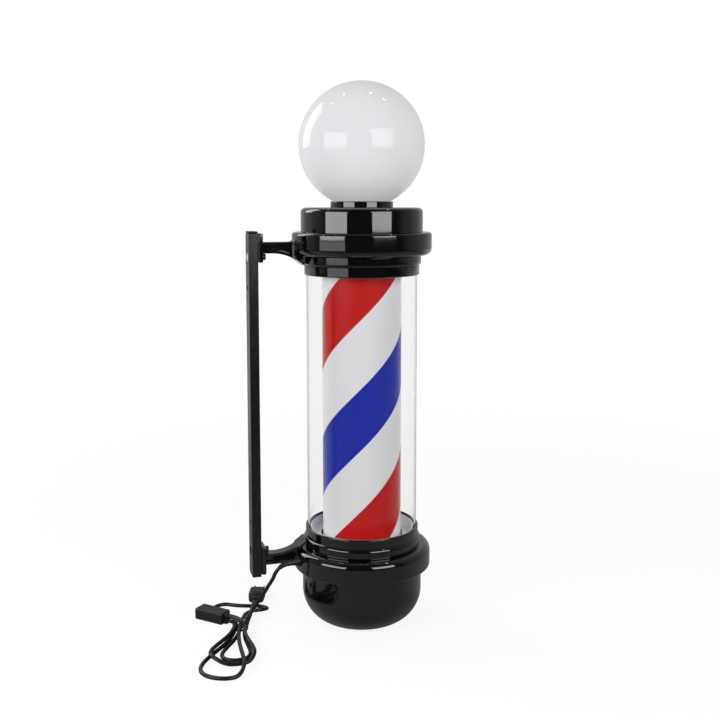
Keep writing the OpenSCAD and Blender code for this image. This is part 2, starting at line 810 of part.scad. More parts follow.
module bulb() color("#f7f5ec") turned() {
  block(0, 13.2, holder_lo + holder_h - socket_depth, holder_lo + holder_h + 4);
  polygon([[0, holder_lo + holder_h + 4], [13.2, holder_lo + holder_h + 4],
    [bulb_r * cos(25), bulb_z - bulb_r * sin(25)], [0, bulb_z - bulb_r * sin(25)]]);
  translate([0, bulb_z]) circle(bulb_r);
}

driver_at = [29, -12];
driver_size = [26, 44, 18];
block_at = [-50, 16];
block_size = [18, 30, 14];

module lamp_driver() color("#e9e9ea")
  translate([driver_at.x, driver_at.y, plate_hi]) cube(driver_size);

module terminal_block() color("#d9d9d2") difference() {
  translate([block_at.x, block_at.y, plate_hi]) cube(block_size);
  for (k = [0:2]) translate([block_at.x + block_size.x / 2, block_at.y + 6 + 9 * k, plate_hi + 4])
    cylinder(r = 2.2, h = block_size.z);
}

module inner_wires() color("#b9b4a8") {
  translate([0, 0, wire_z - 4]) cylinder(r = wire_r, h = column_hi - wire_z + 4 - 1);
  translate([0, 0, wire_z]) rotate([0, 90, 0]) cylinder(r = 2, h = driver_at.x);
}

// Lead inside the ring, from the gland to the terminal block
inside_end = [block_at.x + block_size.x / 2, block_at.y + block_size.y, plate_hi + 7];
inside_route = [
  gland_way * (ring_r - 7) + [0, 0, gland_z], gland_way * (ring_r - 12) + [0, 0, gland_z],
  [-15, 70, gland_z - 0.5], [-21, 63, gland_z - 1.5], [-30, 60, gland_z - 2],
  [-38, 57.5, gland_z - 2.3],
  inside_end + [0, 4, 0], inside_end
];

module cord_inside() color(black)
  tube_along(inside_route, 0, len(inside_route) - 1, cord_sides);

module cord_gland() color(black) translate([0, 0, gland_z]) rotate([-90, 0, gland_turn]) {
  translate([0, 0, ring_r - 7]) cylinder(r = cord_r + 2, h = 8);
  translate([0, 0, ring_r + run]) cylinder(r = 6.5, h = 3);
  translate([0, 0, ring_r + 3]) cylinder(r1 = cord_r + 2, r2 = cord_r + 0.8, h = gland_out - ring_r - 3);
}

// Lead outside

module cord_lead() color(black)
  tube_along(to_switch_route, 0, len(lead_route), cord_sides);

module cord_to_switch() color(black)
  tube_along(to_switch_route, len(lead_route), len(to_switch_route) - 1, loop_sides);

module cord_to_plug() color(black)
  tube_along(to_plug_route, 0, len(to_plug_route) - 1, loop_sides);

tie_gap = 0.3;
tie_t = 1;
tie_w = 3.5;
tie_round = 2.6;

tie_in = cord_r + tie_gap - tie_round;

module tie_outline(grow) offset(grow) translate([-lane - tie_in, waist_lo - tie_in])
  square([2 * (lane + tie_in), waist_hi - waist_lo + 2 * tie_in]);

module cord_tie() color(black)
  translate([hank_at.x, hank_at.y, 0]) rotate([90, 0, hank_turn + 90]) translate([0, 0, -tie_w / 2])
    linear_extrude(tie_w) difference() {
      tie_outline(tie_round + tie_t, $fn = 32);
      tie_outline(tie_round, $fn = 32);
    }

// The switch lies on its edge: x runs along it from the cords' end, y points
// to the side that its rocker looks out of
rocker_y = -4.5;
rocker_l = 12.8;
rocker_h = 9;
rocker_tilt = 8;
pin_r = 1.5;
switch_lo = 0.3;

module at_switch() translate([switch_end.x, switch_end.y, 0]) rotate(switch_turn) children();

module switch_body() color(black) at_switch() difference() {
  union() {
    translate([boot_l, -switch_w / 2, switch_lo]) cube([switch_l, switch_w, switch_h]);
    translate([0, -cord_r - 1.5, switch_lo]) cube([boot_l, cord_d + 3, waist_hi + cord_r + 1 - switch_lo]);
  }
  translate([boot_l + switch_l / 2, 0, switch_lo + switch_h / 2]) {
    translate([-rocker_l / 2 - 1.2, -switch_w / 2 - 1, -rocker_h / 2 - 0.4])
      cube([rocker_l + 2.4, switch_w / 2 + 1 + rocker_y + 5, rocker_h + 0.8]);
    translate([0, rocker_y, -rocker_h / 2 - 2]) cylinder(r = pin_r + run, h = rocker_h + 4, $fn = 48);
  }
}

module switch_rocker() color("#2a2a2c") at_switch()
  translate([boot_l + switch_l / 2, rocker_y, switch_lo + switch_h / 2]) {
    rotate(-rocker_tilt) translate([0, 0, -rocker_h / 2]) linear_extrude(rocker_h)
      polygon([[-rocker_l / 2, 1], [-rocker_l / 2, -6.6], [0, -5.8], [rocker_l / 2, -6.6],
        [rocker_l / 2, 1], [0, 2.5]]);
    translate([0, 0, -rocker_h / 2 - 1.6]) cylinder(r = pin_r, h = rocker_h + 3.2, $fn = 48);
  }

blade_gap = 12.7;
blade_w = 6.3;
blade_t = 1.5;
blade_l = 17;

module at_plug() translate([plug_end.x, plug_end.y, 0]) rotate(plug_turn) children();

module plug_body() color(black) at_plug() {
  hull() {
    translate([plug_boot, -plug_w / 2, 0.2]) cube([plug_l - plug_boot + 6, plug_w, plug_h]);
    translate([0, 0, plug_end.z]) rotate([0, 90, 0]) cylinder(r = cord_r + 1.2, h = 1, $fn = 24);
  }
}

module plug_blades() color("#c9b27a") at_plug() for (side = [-1, 1])
  translate([plug_l + 6, side * blade_gap / 2 - blade_t / 2, 0.2 + plug_h / 2 - blade_w / 2])
    cube([blade_l, blade_t, blade_w]);

base_cap();
lower_bracket();
lower_collar();
lower_gasket();
lower_tray();
outer_tube();
upper_tray();
upper_gasket();
upper_collar();
upper_bracket();
top_cap();
globe_gallery();
globe();
wall_bar();
bar_end_caps();
bar_bolts();
bar_nuts();
column();
column_nuts();
thrust_washer();
retaining_collar();
motor_plate();
motor_body();
motor_screws();
motor_shaft();
pinion();
drive_gear();
lower_bush();
upper_bush();
drum_lower_plate();
drum_upper_plate();
drum();
red_stripe();
blue_stripe();
lamp_carrier();
lamp_strips();
lamp_holder();
bulb();
lamp_driver();
terminal_block();
inner_wires();
cord_inside();
cord_gland();
cord_lead();
cord_to_switch();
cord_to_plug();
cord_tie();
switch_body();
switch_rocker();
plug_body();
plug_blades();
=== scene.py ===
# Barber pole with a ball lamp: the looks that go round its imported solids.
# One section for each piece: the camera and the lead, the studio, then the pole from its
# foot up. Sizes are in millimetres, but in metres for the studio and in node inputs.
import math

import bmesh
import bpy
from mathutils import Matrix, Vector


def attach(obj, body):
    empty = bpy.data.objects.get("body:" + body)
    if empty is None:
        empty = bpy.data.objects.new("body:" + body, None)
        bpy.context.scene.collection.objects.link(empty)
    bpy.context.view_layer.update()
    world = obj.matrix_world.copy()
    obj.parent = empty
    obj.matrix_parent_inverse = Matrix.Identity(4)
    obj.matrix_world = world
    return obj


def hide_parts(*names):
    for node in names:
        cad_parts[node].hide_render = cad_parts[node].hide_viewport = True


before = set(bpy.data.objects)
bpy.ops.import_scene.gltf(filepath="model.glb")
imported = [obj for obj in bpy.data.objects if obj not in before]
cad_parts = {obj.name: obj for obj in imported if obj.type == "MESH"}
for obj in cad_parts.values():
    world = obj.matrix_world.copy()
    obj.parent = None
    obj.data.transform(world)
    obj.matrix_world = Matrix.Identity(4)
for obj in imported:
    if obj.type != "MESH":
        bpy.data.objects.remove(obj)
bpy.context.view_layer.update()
scene = bpy.context.scene
scene.view_settings.view_transform = "Standard"
MM = 0.001

# Studio: camera
# The camera stands 1.3 m off, level with the gallery and behind the line of the
# wall bar, and looks slightly down, as in the photograph.
CAMERA_TILT = 6.13
camera_at = Vector((-1.2359, 0.3532, 0.551))
camera_way = Vector((0.96096, -0.27667, -math.tan(math.radians(CAMERA_TILT))))
camera = bpy.data.objects.new("camera", bpy.data.cameras.new("camera"))
scene.collection.objects.link(camera)
scene.camera = camera
camera.data.sensor_width = 36
camera.data.lens = 50.13
camera.data.shift_x = -0.0052
camera.data.shift_y = -0.072
camera.location = camera_at
camera.rotation_euler = camera_way.to_track_quat("-Z", "Y").to_euler()

# Lead: from the gland through the hank to the switch
# Round two-core flex with a black rubbery jacket, 5 mm thick. It hangs from the
# lower ring to the tie, goes round one leaf of the hank and ends in the switch.
CORD_D = 5.0
CORD_R = CORD_D / 2
LANE = 6.2
# Heights of a strand on the floor, over another one, and low or high at the waist.
FLOOR_Z = CORD_R + 0.1
OVER_Z = FLOOR_Z + 5.9
WAIST_LO = FLOOR_Z + 1.6
WAIST_HI = WAIST_LO + 5.9
LEAF_STEPS = 24
LEAF_PEAK = 0.77
hank_at = Vector((-2, 163))
hank_turn = math.radians(164)
ring_reach = 89.5
gland_out = ring_reach + 8
gland_turn = math.radians(10)
gland_z = 90.0
gland_way = Vector((-math.sin(gland_turn), math.cos(gland_turn), 0))


def ease(a, b, t):
    """A smooth step from 0 to 1 as t goes from a to b."""
    x = max(0.0, min(1.0, (t - a) / (b - a)))
    return x * x * (3 - 2 * x)


def in_row(p):
    """A point along the hank, across it and up from the floor, in its real place."""
    c, s = math.cos(hank_turn), math.sin(hank_turn)
    return Vector((hank_at.x + p[0] * c - p[1] * s, hank_at.y + p[0] * s + p[1] * c, p[2]))


def bend(at, r, start, end, z0, z1, n):
    """An arc of n steps on which the height goes from z0 to z1."""
    found = []
    for i in range(n + 1):
        a = math.radians(start + (end - start) * i / n)
        z = z0 + (z1 - z0) * ease(0, 0.8, i / n)
        found.append((at[0] + r * math.cos(a), at[1] + r * math.sin(a), z))
    return found


def leaf(long, wide_l, wide_r, lane_l, lane_r, height):
    """A loop that leaves the waist in one lane and comes back to it in the other."""
    found = []
    for i in range(1, LEAF_STEPS):
        t = i / LEAF_STEPS
        w = (wide_l + wide_r) / 2 + (wide_l - wide_r) / 2 * math.cos(math.pi * t)
        s = math.sin(2 * math.pi * t) * math.sin(math.pi * t) / LEAF_PEAK
        found.append((long * math.sin(math.pi * t), lane_l + (lane_r - lane_l) * t - w * s, height(t)))
    return found


def outer_height(t):
    return (FLOOR_Z + (WAIST_LO - FLOOR_Z) * (1 - ease(0, 0.1, t))
            + (OVER_Z - FLOOR_Z) * ease(0.57, 0.7, t) + (WAIST_HI - OVER_Z) * ease(0.88, 1, t))


def middle_height(t):
    return (FLOOR_Z + (OVER_Z - FLOOR_Z) * (1 - ease(0.37, 0.5, t) + ease(0.6, 0.72, t))
            + (WAIST_HI - OVER_Z) * (1 - ease(0, 0.12, t) + ease(0.88, 1, t)))


def inner_height(t):
    return FLOOR_Z + (WAIST_LO - FLOOR_Z) * (1 - ease(0, 0.12, t) + ease(0.88, 1, t))


SWITCH_ARC = (-7, -LANE - 15)
SWITCH_ARC_R = 15
SWITCH_ARC_END = 151


def switch_run(z):
    """From the waist round an arc and then straight into the switch."""
    a = math.radians(SWITCH_ARC_END)
    last = (SWITCH_ARC[0] + SWITCH_ARC_R * math.cos(a) - CORD_D * math.sin(a),
            SWITCH_ARC[1] + SWITCH_ARC_R * math.sin(a) + CORD_D * math.cos(a), z)
    return [*bend(SWITCH_ARC, SWITCH_ARC_R, 90, SWITCH_ARC_END, z, z, 5), last]


lead_points = [
    (-18.9, 108.6, 88.9), (-19.2, 115.4, 84.8), (-18.5, 120.1, 78.4), (-16.1, 122.5, 71.3),
    (-12.3, 124.9, 64.8), (-8.3, 127.6, 58.5), (-4.5, 129.9, 51.9), (-0.8, 132.7, 45.5),
    (2.8, 135.8, 39.1), (5.7, 139.1, 32.5), (8.8, 142.6, 26), (9.6, 147.4, 19.4),
    (6.2, 152.3, 13.6), (-0.3, 156, 10.4),
]
gland_tip = gland_way * gland_out + Vector((0, 0, gland_z))
lead_route = [gland_tip, gland_tip + gland_way * CORD_D, *map(Vector, lead_points)]
lead_route.append(in_row((0, LANE, WAIST_HI)))
lead_route += [in_row(p) for p in reversed(leaf(98, 24, 24, -LANE, LANE, middle_height))]
lead_route.append(in_row((0, -LANE, WAIST_HI)))
lead_route += [in_row(p) for p in switch_run(WAIST_HI)]


def fine_route(points, steps=5):
    """The route with more points between its own, on a smooth line through them."""
    found = []
    for i in range(len(points) - 1):
        p0 = points[max(i - 1, 0)]
        p1, p2 = points[i], points[i + 1]
        p3 = points[min(i + 2, len(points) - 1)]
        for k in range(steps):
            t = k / steps
            found.append(0.5 * ((2 * p1) + (p2 - p0) * t + (2 * p0 - 5 * p1 + 4 * p2 - p3) * t * t
                                + (3 * p1 - p0 - 3 * p2 + p3) * t * t * t))
    found.append(points[-1])
    return found


def cord_curve(name, route):
    """A smooth round flex along the route."""
    data = bpy.data.curves.new(name, "CURVE")
    data.dimensions = "3D"
    data.bevel_depth = CORD_R * MM
    data.bevel_resolution = 5
    data.use_fill_caps = True
    data.twist_mode = "MINIMUM"
    line = data.splines.new("POLY")
    line.points.add(len(route) - 1)
    for point, p in zip(line.points, route):
        point.co = (p.x * MM, p.y * MM, p.z * MM, 1)
    line.use_smooth = True
    piece = bpy.data.objects.new(name, data)
    scene.collection.objects.link(piece)
    return piece


def finish(name, colour, tint, rough, grain, bump, stretch=(1, 1, 1), **sockets):
    """A surface whose colour, gloss and fine relief all vary a little, at the real grain."""
    material = bpy.data.materials.new(name)
    material.use_nodes = True
    tree = material.node_tree
    nodes, links = tree.nodes, tree.links
    skin = nodes["Principled BSDF"]
    coords = nodes.new("ShaderNodeTexCoord")
    place = nodes.new("ShaderNodeMapping")
    place.inputs["Scale"].default_value = stretch
    links.new(coords.outputs["Object"], place.inputs["Vector"])
    fine = nodes.new("ShaderNodeTexNoise")
    fine.inputs["Scale"].default_value = grain
    fine.inputs["Detail"].default_value = 3
    links.new(place.outputs["Vector"], fine.inputs["Vector"])
    broad = nodes.new("ShaderNodeTexNoise")
    broad.inputs["Scale"].default_value = grain / 15
    broad.inputs["Detail"].default_value = 2
    links.new(place.outputs["Vector"], broad.inputs["Vector"])
    mix = nodes.new("ShaderNodeMix")
    mix.data_type = "RGBA"
    mix.inputs["A"].default_value = (*colour, 1)
    mix.inputs["B"].default_value = (*tint, 1)
    links.new(broad.outputs["Fac"], mix.inputs["Factor"])
    links.new(mix.outputs["Result"], skin.inputs["Base Color"])
    gloss = nodes.new("ShaderNodeMapRange")
    gloss.inputs["From Min"].default_value = 0.3
    gloss.inputs["From Max"].default_value = 0.7
    gloss.inputs["To Min"].default_value = rough[0]
    gloss.inputs["To Max"].default_value = rough[1]
    links.new(broad.outputs["Fac"], gloss.inputs["Value"])
    links.new(gloss.outputs["Result"], skin.inputs["Roughness"])
    if bump:
        relief = nodes.new("ShaderNodeBump")
        relief.inputs["Strength"].default_value = 1.0
        relief.inputs["Distance"].default_value = bump
        links.new(fine.outputs["Fac"], relief.inputs["Height"])
        links.new(relief.outputs["Normal"], skin.inputs["Normal"])
    for socket, value in sockets.items():
        skin.inputs[socket.replace("_", " ")].default_value = value
    return material


jacket = finish("cord_jacket", (0.007, 0.007, 0.0075), (0.01, 0.01, 0.0105),
                rough=(0.26, 0.36), grain=900, bump=0.000012)
lead_line = fine_route(lead_route)
lead = cord_curve("lead", lead_line)
lead.data.materials.append(jacket)
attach(lead, "housing")
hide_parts("cord_lead", "cord_to_switch")

# Lead: from the switch through the hank to the plug
# The same flex. From under the switch it makes the long leaf, swings back over
# itself in a small loop, makes the inner leaf and ends in the plug.
near_points = [(-10, 0, WAIST_HI - 0.5), (-18, 0.6, WAIST_HI - 0.8)]
far_points = [(-74.6, 4, FLOOR_Z), (-75, -5, FLOOR_Z), (-76.2, -14, FLOOR_Z)]
inner_points = [(-46, -28, FLOOR_Z), (-40.5, -17, FLOOR_Z), (-34, -7.5, FLOOR_Z),
                (-24, -2, FLOOR_Z), (-12, -0.3, 3.2)]
plug_points = [(-12, 6.6, 3.1), (-24, 6.8, 2.7), (-34, 7.2, 2.7), (-44, 7.8, 3.3),
               (-53, 8.4, 5.4), (-62, 9, 7.6), (-71, 9.5, 8.4), (-80, 9.9, 8.4)]
plug_route = [in_row(p) for p in [
    *reversed(switch_run(WAIST_LO)),
    (0, -LANE, WAIST_LO),
    *leaf(134, 33, 16, -LANE, 0, outer_height),
    (0, 0, WAIST_HI),
    *near_points,
    *bend((-24, 24.5), 23, -85, -150, WAIST_HI - 0.9, WAIST_HI - 1, 5),
    *bend((-59.5, 13.5), 15, 26, 180, 9, FLOOR_Z, 8),
    *far_points,
    *bend((-65, -29), 15, 152, 331, FLOOR_Z, FLOOR_Z, 8),
    *inner_points,
    (0, 0, WAIST_LO),
    *leaf(88, 15, 16.5, 0, LANE, inner_height),
    (0, LANE, WAIST_LO),
    *plug_points,
]]
plug_line = fine_route(plug_route)
second_lead = cord_curve("lead_to_plug", plug_line)
second_lead.data.materials.append(jacket)
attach(second_lead, "housing")
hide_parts("cord_to_plug")

# Studio: floor, surround and lamps
# A pale floor in a white surround, both dimmer in what the pole reflects. Two
# softboxes, a low fill, a window far to the left and four ceiling lamps.
PHOTO_SIDE = (-0.9617, 0.2740, 0)
FLOOR_HALF = 6


def fade(tree, value, start, end, near, far):
    """A smooth step from near to far as the value goes from start to end."""
    step = tree.nodes.new("ShaderNodeMapRange")
    step.interpolation_type = "SMOOTHSTEP"
    for socket, number in zip(("From Min", "From Max", "To Min", "To Max"), (start, end, near, far)):
        step.inputs[socket].default_value = number
    tree.links.new(value, step.inputs["Value"])
    return step.outputs["Result"]


def larger(tree, first, second):
    """The larger of two values."""
    node = tree.nodes.new("ShaderNodeMath")
    node.operation = "MAXIMUM"
    tree.links.new(first, node.inputs[0])
    tree.links.new(second, node.inputs[1])
    return node.outputs[0]


def either_ray(tree, first, second):
    """1 for rays of these two kinds and 0 for all others."""
    rays = tree.nodes.new("ShaderNodeLightPath")
    return larger(tree, rays.outputs[first], rays.outputs[second])


def to_photo_side(tree, coords):
    """How far the coordinates lie on the side of the pole that the camera stands on."""
    node = tree.nodes.new("ShaderNodeVectorMath")
    node.operation = "DOT_PRODUCT"
    node.inputs[1].default_value = PHOTO_SIDE
    tree.links.new(coords, node.inputs[0])
    return node.outputs["Value"]


floor_mesh = bpy.data.meshes.new("floor")
floor_corners = [(x * FLOOR_HALF, y * FLOOR_HALF, 0) for x, y in ((-1, -1), (1, -1), (1, 1), (-1, 1))]
floor_mesh.from_pydata(floor_corners, [], [(0, 1, 2, 3)])
floor = bpy.data.objects.new("floor", floor_mesh)
scene.collection.objects.link(floor)
floor_paint = bpy.data.materials.new("floor_paint")
floor_paint.use_nodes = True
tree = floor_paint.node_tree
nodes, links = tree.nodes, tree.links
paper = nodes["Principled BSDF"]
paper.inputs["Roughness"].default_value = 0.9
paper.inputs["Specular IOR Level"].default_value = 0.1
where = nodes.new("ShaderNodeTexCoord").outputs["Object"]
reach = nodes.new("ShaderNodeVectorMath")
reach.operation = "LENGTH"
links.new(where, reach.inputs[0])
away = reach.outputs["Value"]
forward = to_photo_side(tree, where)
seen = either_ray(tree, "Is Camera Ray", "Is Transmission Ray")
tone = nodes.new("ShaderNodeMix")
links.new(seen, tone.inputs["Factor"])
links.new(fade(tree, forward, start=-0.3, end=1.2, near=0.45, far=0.03), tone.inputs["A"])
tone.inputs["B"].default_value = 0.85
pale = nodes.new("ShaderNodeCombineColor")
for channel in ("Red", "Green", "Blue"):
    links.new(tone.outputs["Result"], pale.inputs[channel])
links.new(pale.outputs["Color"], paper.inputs["Base Color"])
glow = nodes.new("ShaderNodeEmission")
links.new(fade(tree, away, start=0.5, end=1.6, near=1.1, far=1.0), glow.inputs["Strength"])
share = nodes.new("ShaderNodeMath")
share.operation = "MULTIPLY"
links.new(seen, share.inputs[0])
links.new(fade(tree, away, start=0.5, end=1.6, near=0.8, far=1.0), share.inputs[1])
behind = fade(tree, forward, start=-1.6, end=-0.4, near=0.45, far=0.0)
blend = nodes.new("ShaderNodeMixShader")
links.new(larger(tree, share.outputs[0], behind), blend.inputs["Fac"])
links.new(paper.outputs["BSDF"], blend.inputs[1])
links.new(glow.outputs["Emission"], blend.inputs[2])
links.new(blend.outputs["Shader"], nodes["Material Output"].inputs["Surface"])
floor_mesh.materials.append(floor_paint)

world = bpy.data.worlds.new("surround")
scene.world = world
world.use_nodes = True
tree = world.node_tree
nodes, links = tree.nodes, tree.links
sky = nodes["Background"]
sky.inputs["Color"].default_value = (1, 1, 1, 1)
half = nodes.new("ShaderNodeMath")
half.operation = "MULTIPLY_ADD"
half.inputs[1].default_value = 0.5
half.inputs[2].default_value = 0.5
links.new(to_photo_side(tree, nodes.new("ShaderNodeTexCoord").outputs["Generated"]), half.inputs[0])
dusk = nodes.new("ShaderNodeValToRGB")
dusk.color_ramp.interpolation = "EASE"
marks = dusk.color_ramp.elements
for stop in (0.25, 0.5, 0.72):
    marks.new(stop)
for mark, grey in zip(marks, (0.4, 0.28, 0.2, 0.02, 0.02)):
    mark.color = (grey, grey, grey, 1)
links.new(half.outputs[0], dusk.inputs["Fac"])
level = nodes.new("ShaderNodeMix")
level.inputs["B"].default_value = 1.0
links.new(either_ray(tree, "Is Camera Ray", "Is Transmission Ray"), level.inputs["Factor"])
links.new(dusk.outputs["Color"], level.inputs["A"])
links.new(level.outputs["Result"], sky.inputs["Strength"])


def lamp(name, turn, away, height, wide, tall, glare, aim_z=0.45):
    """A flat lamp of this radiance at a turn from the camera's side, aimed at the pole."""
    data = bpy.data.lights.new(name, "AREA")
    data.shape = "RECTANGLE"
    data.size, data.size_y = wide, tall
    data.energy = glare * math.pi * wide * tall
    holder = bpy.data.objects.new(name, data)
    scene.collection.objects.link(holder)
    holder.visible_transmission = False
    a = math.atan2(PHOTO_SIDE[1], PHOTO_SIDE[0]) + math.radians(turn)
    holder.location = (away * math.cos(a), away * math.sin(a), height)
    aim = Vector((0, 0, aim_z)) - holder.location
    holder.rotation_euler = aim.to_track_quat("-Z", "Y").to_euler()


lamp("left_softbox", turn=-48, away=1.5, height=0.76, wide=1.2, tall=0.64, glare=4.5)
lamp("left_fill", turn=-48, away=1.5, height=0.36, wide=1.2, tall=0.16, glare=1.3, aim_z=0.36)
lamp("right_softbox", turn=37, away=1.5, height=0.86, wide=1.05, tall=0.82, glare=4.5)
lamp("window", turn=-118, away=1.8, height=1.26, wide=0.85, tall=1.45, glare=3.0)
for turn, away in ((-106, 1.26), (-130, 0.77), (140, 0.46), (104, 0.85)):
    lamp("ceiling_lamp", turn, away, height=2.3, wide=0.07, tall=0.07, glare=45, aim_z=0.6)

# Bowl
# The pole's foot, a spun steel bowl in gloss black enamel with a small flat
# bottom. Its spigot goes up into the lower ring.
black_enamel = finish("black_enamel", (0.0035, 0.0035, 0.004), (0.0045, 0.0045, 0.005),
                      rough=(0.05, 0.09), grain=260, bump=0.000004, Coat_Weight=0.7,
                      Coat_Roughness=0.02)
TURNS = 192


def rounded(corners, steps=7):
    """Corners as (radius, height, rounding) in mm, with each rounding made an arc."""
    found = []
    for i, (x, y, r) in enumerate(corners):
        here = Vector((x, y))
        if not r:
            found.append(here)
            continue
        back = Vector(corners[i - 1][:2]) - here
        ahead = Vector(corners[(i + 1) % len(corners)][:2]) - here
        half = back.angle(ahead) / 2
        run = r / math.tan(half)
        back.normalize()
        ahead.normalize()
        middle = here + (back + ahead).normalized() * (r / math.sin(half))
        first, last = here + back * run - middle, here + ahead * run - middle
        count = steps * 4 if r > 20 else steps
        sweep = first.angle_signed(last)
        for k in range(count + 1):
            a = -sweep * k / count
            found.append(middle + Vector((first.x * math.cos(a) - first.y * math.sin(a),
                                          first.x * math.sin(a) + first.y * math.cos(a))))
    return found


def as_mesh(name, shape, turn_out=True):
    """The shape as a mesh, after its faces are turned outwards."""
    if turn_out:
        bmesh.ops.recalc_face_normals(shape, faces=shape.faces)
    mesh = bpy.data.meshes.new(name)
    shape.to_mesh(mesh)
    shape.free()
    return mesh


def spun_mesh(name, outline, turns=TURNS, over=None):
    """The closed outline turned once round the pole's axis, or its twin turned over."""
    if over is not None:
        outline = [Vector((p[0], over - p[1])) for p in outline]
    shape = bmesh.new()
    rings = []
    for k in range(turns):
        a = 2 * math.pi * k / turns
        rings.append([shape.verts.new((p[0] * math.cos(a) * MM, p[0] * math.sin(a) * MM, p[1] * MM))
                      for p in outline])
    count = len(outline)
    for k in range(turns):
        here, ahead = rings[k], rings[(k + 1) % turns]
        for i in range(count):
            j = (i + 1) % count
            if max(outline[i][0], outline[j][0]) > 0.01:
                shape.faces.new((here[i], ahead[i], ahead[j], here[j]))
    bmesh.ops.remove_doubles(shape, verts=shape.verts, dist=1e-7)
    return as_mesh(name, shape)


def place_piece(name, mesh, material, replaces=(), body="housing", crease=35):
    """The mesh as a finished piece of its body, smooth up to the crease angle."""
    mesh.materials.clear()
    mesh.materials.append(material)
    mesh.shade_smooth()
    mesh.set_sharp_from_angle(angle=math.radians(crease))
    piece = bpy.data.objects.new(name, mesh)
    scene.collection.objects.link(piece)
    flats = piece.modifiers.new("flats", "WEIGHTED_NORMAL")
    flats.keep_sharp = True
    depsgraph = bpy.context.evaluated_depsgraph_get()
    piece.data = bpy.data.meshes.new_from_object(piece.evaluated_get(depsgraph))
    piece.modifiers.clear()
    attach(piece, body)
    if replaces:
        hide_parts(*replaces)
    return piece


bowl_outline = rounded([
    (0, 0, 0), (78, 0, 44), (78, 75, 0.8), (75.3, 75, 0), (75.3, 78, 0.4), (72.8, 78, 0.4),
    (72.8, 71, 0), (75.5, 71, 0), (75.5, 2.5, 41.5), (13, 2.5, 0), (13, 30, 0.6), (7.05, 30, 0.4),
    (7.05, 13, 0), (0, 13, 0),
])
place_piece("bowl", spun_mesh("bowl", bowl_outline), black_enamel,
            replaces=["base_cap"])

# Bracket rings with their arms
# Two castings in the same enamel, one the mirror of the other: a hollow ring, an
# arm with flanges and a curved gusset, and a pad that bolts to the wall bar.
TWICE_MIDDLE = 586.0
ring_outline = rounded([
    (75.5, 75, 0.5), (89.5, 75, 3.5), (89.5, 104, 9), (71.2, 104, 0.6), (71.2, 100.5, 0),
    (85.5, 100.5, 1), (85.5, 84, 1), (71.2, 84, 0), (71.2, 80.5, 0), (75.5, 80.5, 0),
])
ARM_LO, ARM_HI, PAD_Y = 86.5, 100.5, 130.0
ARM_ROOT, RING_FACE, RING_FILLET = 78.0, 88.0, 9.0
GUSSET_Y, GUSSET_R = 118.0, 59.2
FLANGE, HALF_W, HALF_WEB = 3.5, 7.0, 2.6


def fillet(r, gap):
    """How far a fillet of radius r has swung out at this gap from the face it meets."""
    return r - math.sqrt(max(r * r - (r - gap) ** 2, 0)) if gap < r else 0.0


def lofted(name, sections):
    """A closed mesh through sections that have equally many corners."""
    shape = bmesh.new()
    loops = [[shape.verts.new(corner) for corner in section] for section in sections]
    for a, b in zip(loops, loops[1:]):
        for i in range(len(a)):
            j = (i + 1) % len(a)
            shape.faces.new((a[i], a[j], b[j], b[i]))
    shape.faces.new(loops[0])
    shape.faces.new(reversed(loops[-1]))
    return as_mesh(name, shape)


def arm_mesh(name):
    """An arm of I section whose upper flange follows the gusset's curve and whose root flares."""
    stations = [ARM_ROOT + i for i in range(10)]
    stations += [RING_FACE + RING_FILLET * (1 - math.cos(math.radians(6.5 * i))) for i in range(14)]
    stations += [97.5 + 1.5 * i for i in range(22)] + [PAD_Y + 0.5]
    root = 1.2
    sections = []
    for y in stations:
        flare = fillet(RING_FILLET, max(y - RING_FACE, 0.0))
        low, high = ARM_LO - flare * 0.6, ARM_HI
        if y < GUSSET_Y:
            high = ARM_HI + GUSSET_R - math.sqrt(GUSSET_R ** 2 - (GUSSET_Y - y) ** 2)
        wide, web = HALF_W + flare * 0.7, HALF_WEB + flare * 0.7 * 0.9
        side = [(wide, low), (wide, low + FLANGE), (web, low + FLANGE + root),
                (web, high - FLANGE - root), (wide, high - FLANGE), (wide, high)]
        section = side + [(-x, z) for x, z in reversed(side)]
        sections.append([(x * MM, y * MM, z * MM) for x, z in section])
    return lofted(name, sections)


def block_mesh(name, low, high):
    """A block from its low corner to its high one."""
    shape = bmesh.new()
    bmesh.ops.create_cube(shape, size=1)
    for v in shape.verts:
        for i in range(3):
            v.co[i] = (high[i] if v.co[i] > 0 else low[i]) * MM
    return as_mesh(name, shape, turn_out=False)


def temporary(mesh):
    piece = bpy.data.objects.new(mesh.name, mesh)
    scene.collection.objects.link(piece)
    return piece


def settled(piece):
    """The piece's mesh with its modifiers applied. The piece itself is removed."""
    mesh = bpy.data.meshes.new_from_object(piece.evaluated_get(bpy.context.evaluated_depsgraph_get()))
    bpy.data.objects.remove(piece)
    return mesh


def bevelled(mesh, width, segments=3, angle=40):
    piece = temporary(mesh)
    edge = piece.modifiers.new("edge", "BEVEL")
    edge.width = width * MM
    edge.segments = segments
    edge.limit_method = "ANGLE"
    edge.angle_limit = math.radians(angle)
    edge.harden_normals = False
    return settled(piece)


def combined(first, second, operation):
    a, b = temporary(first), temporary(second)
    join = a.modifiers.new("join", "BOOLEAN")
    join.operation = operation
    join.solver = "EXACT"
    join.object = b
    mesh = settled(a)
    bpy.data.objects.remove(b)
    return mesh


def joined(name, *meshes):
    """The meshes as one, each with its own smooth faces where they run into each other."""
    shape = bmesh.new()
    for part in meshes:
        shape.from_mesh(part)
    return as_mesh(name, shape, turn_out=False)


def turned_over(mesh, name):
    """The twin of a mesh on the other side of the pole's middle height."""
    twin = mesh.copy()
    twin.name = name
    twin.transform(Matrix.Translation((0, 0, TWICE_MIDDLE * MM)) @ Matrix.Scale(-1, 4, (0, 0, 1)))
    twin.flip_normals()
    return twin


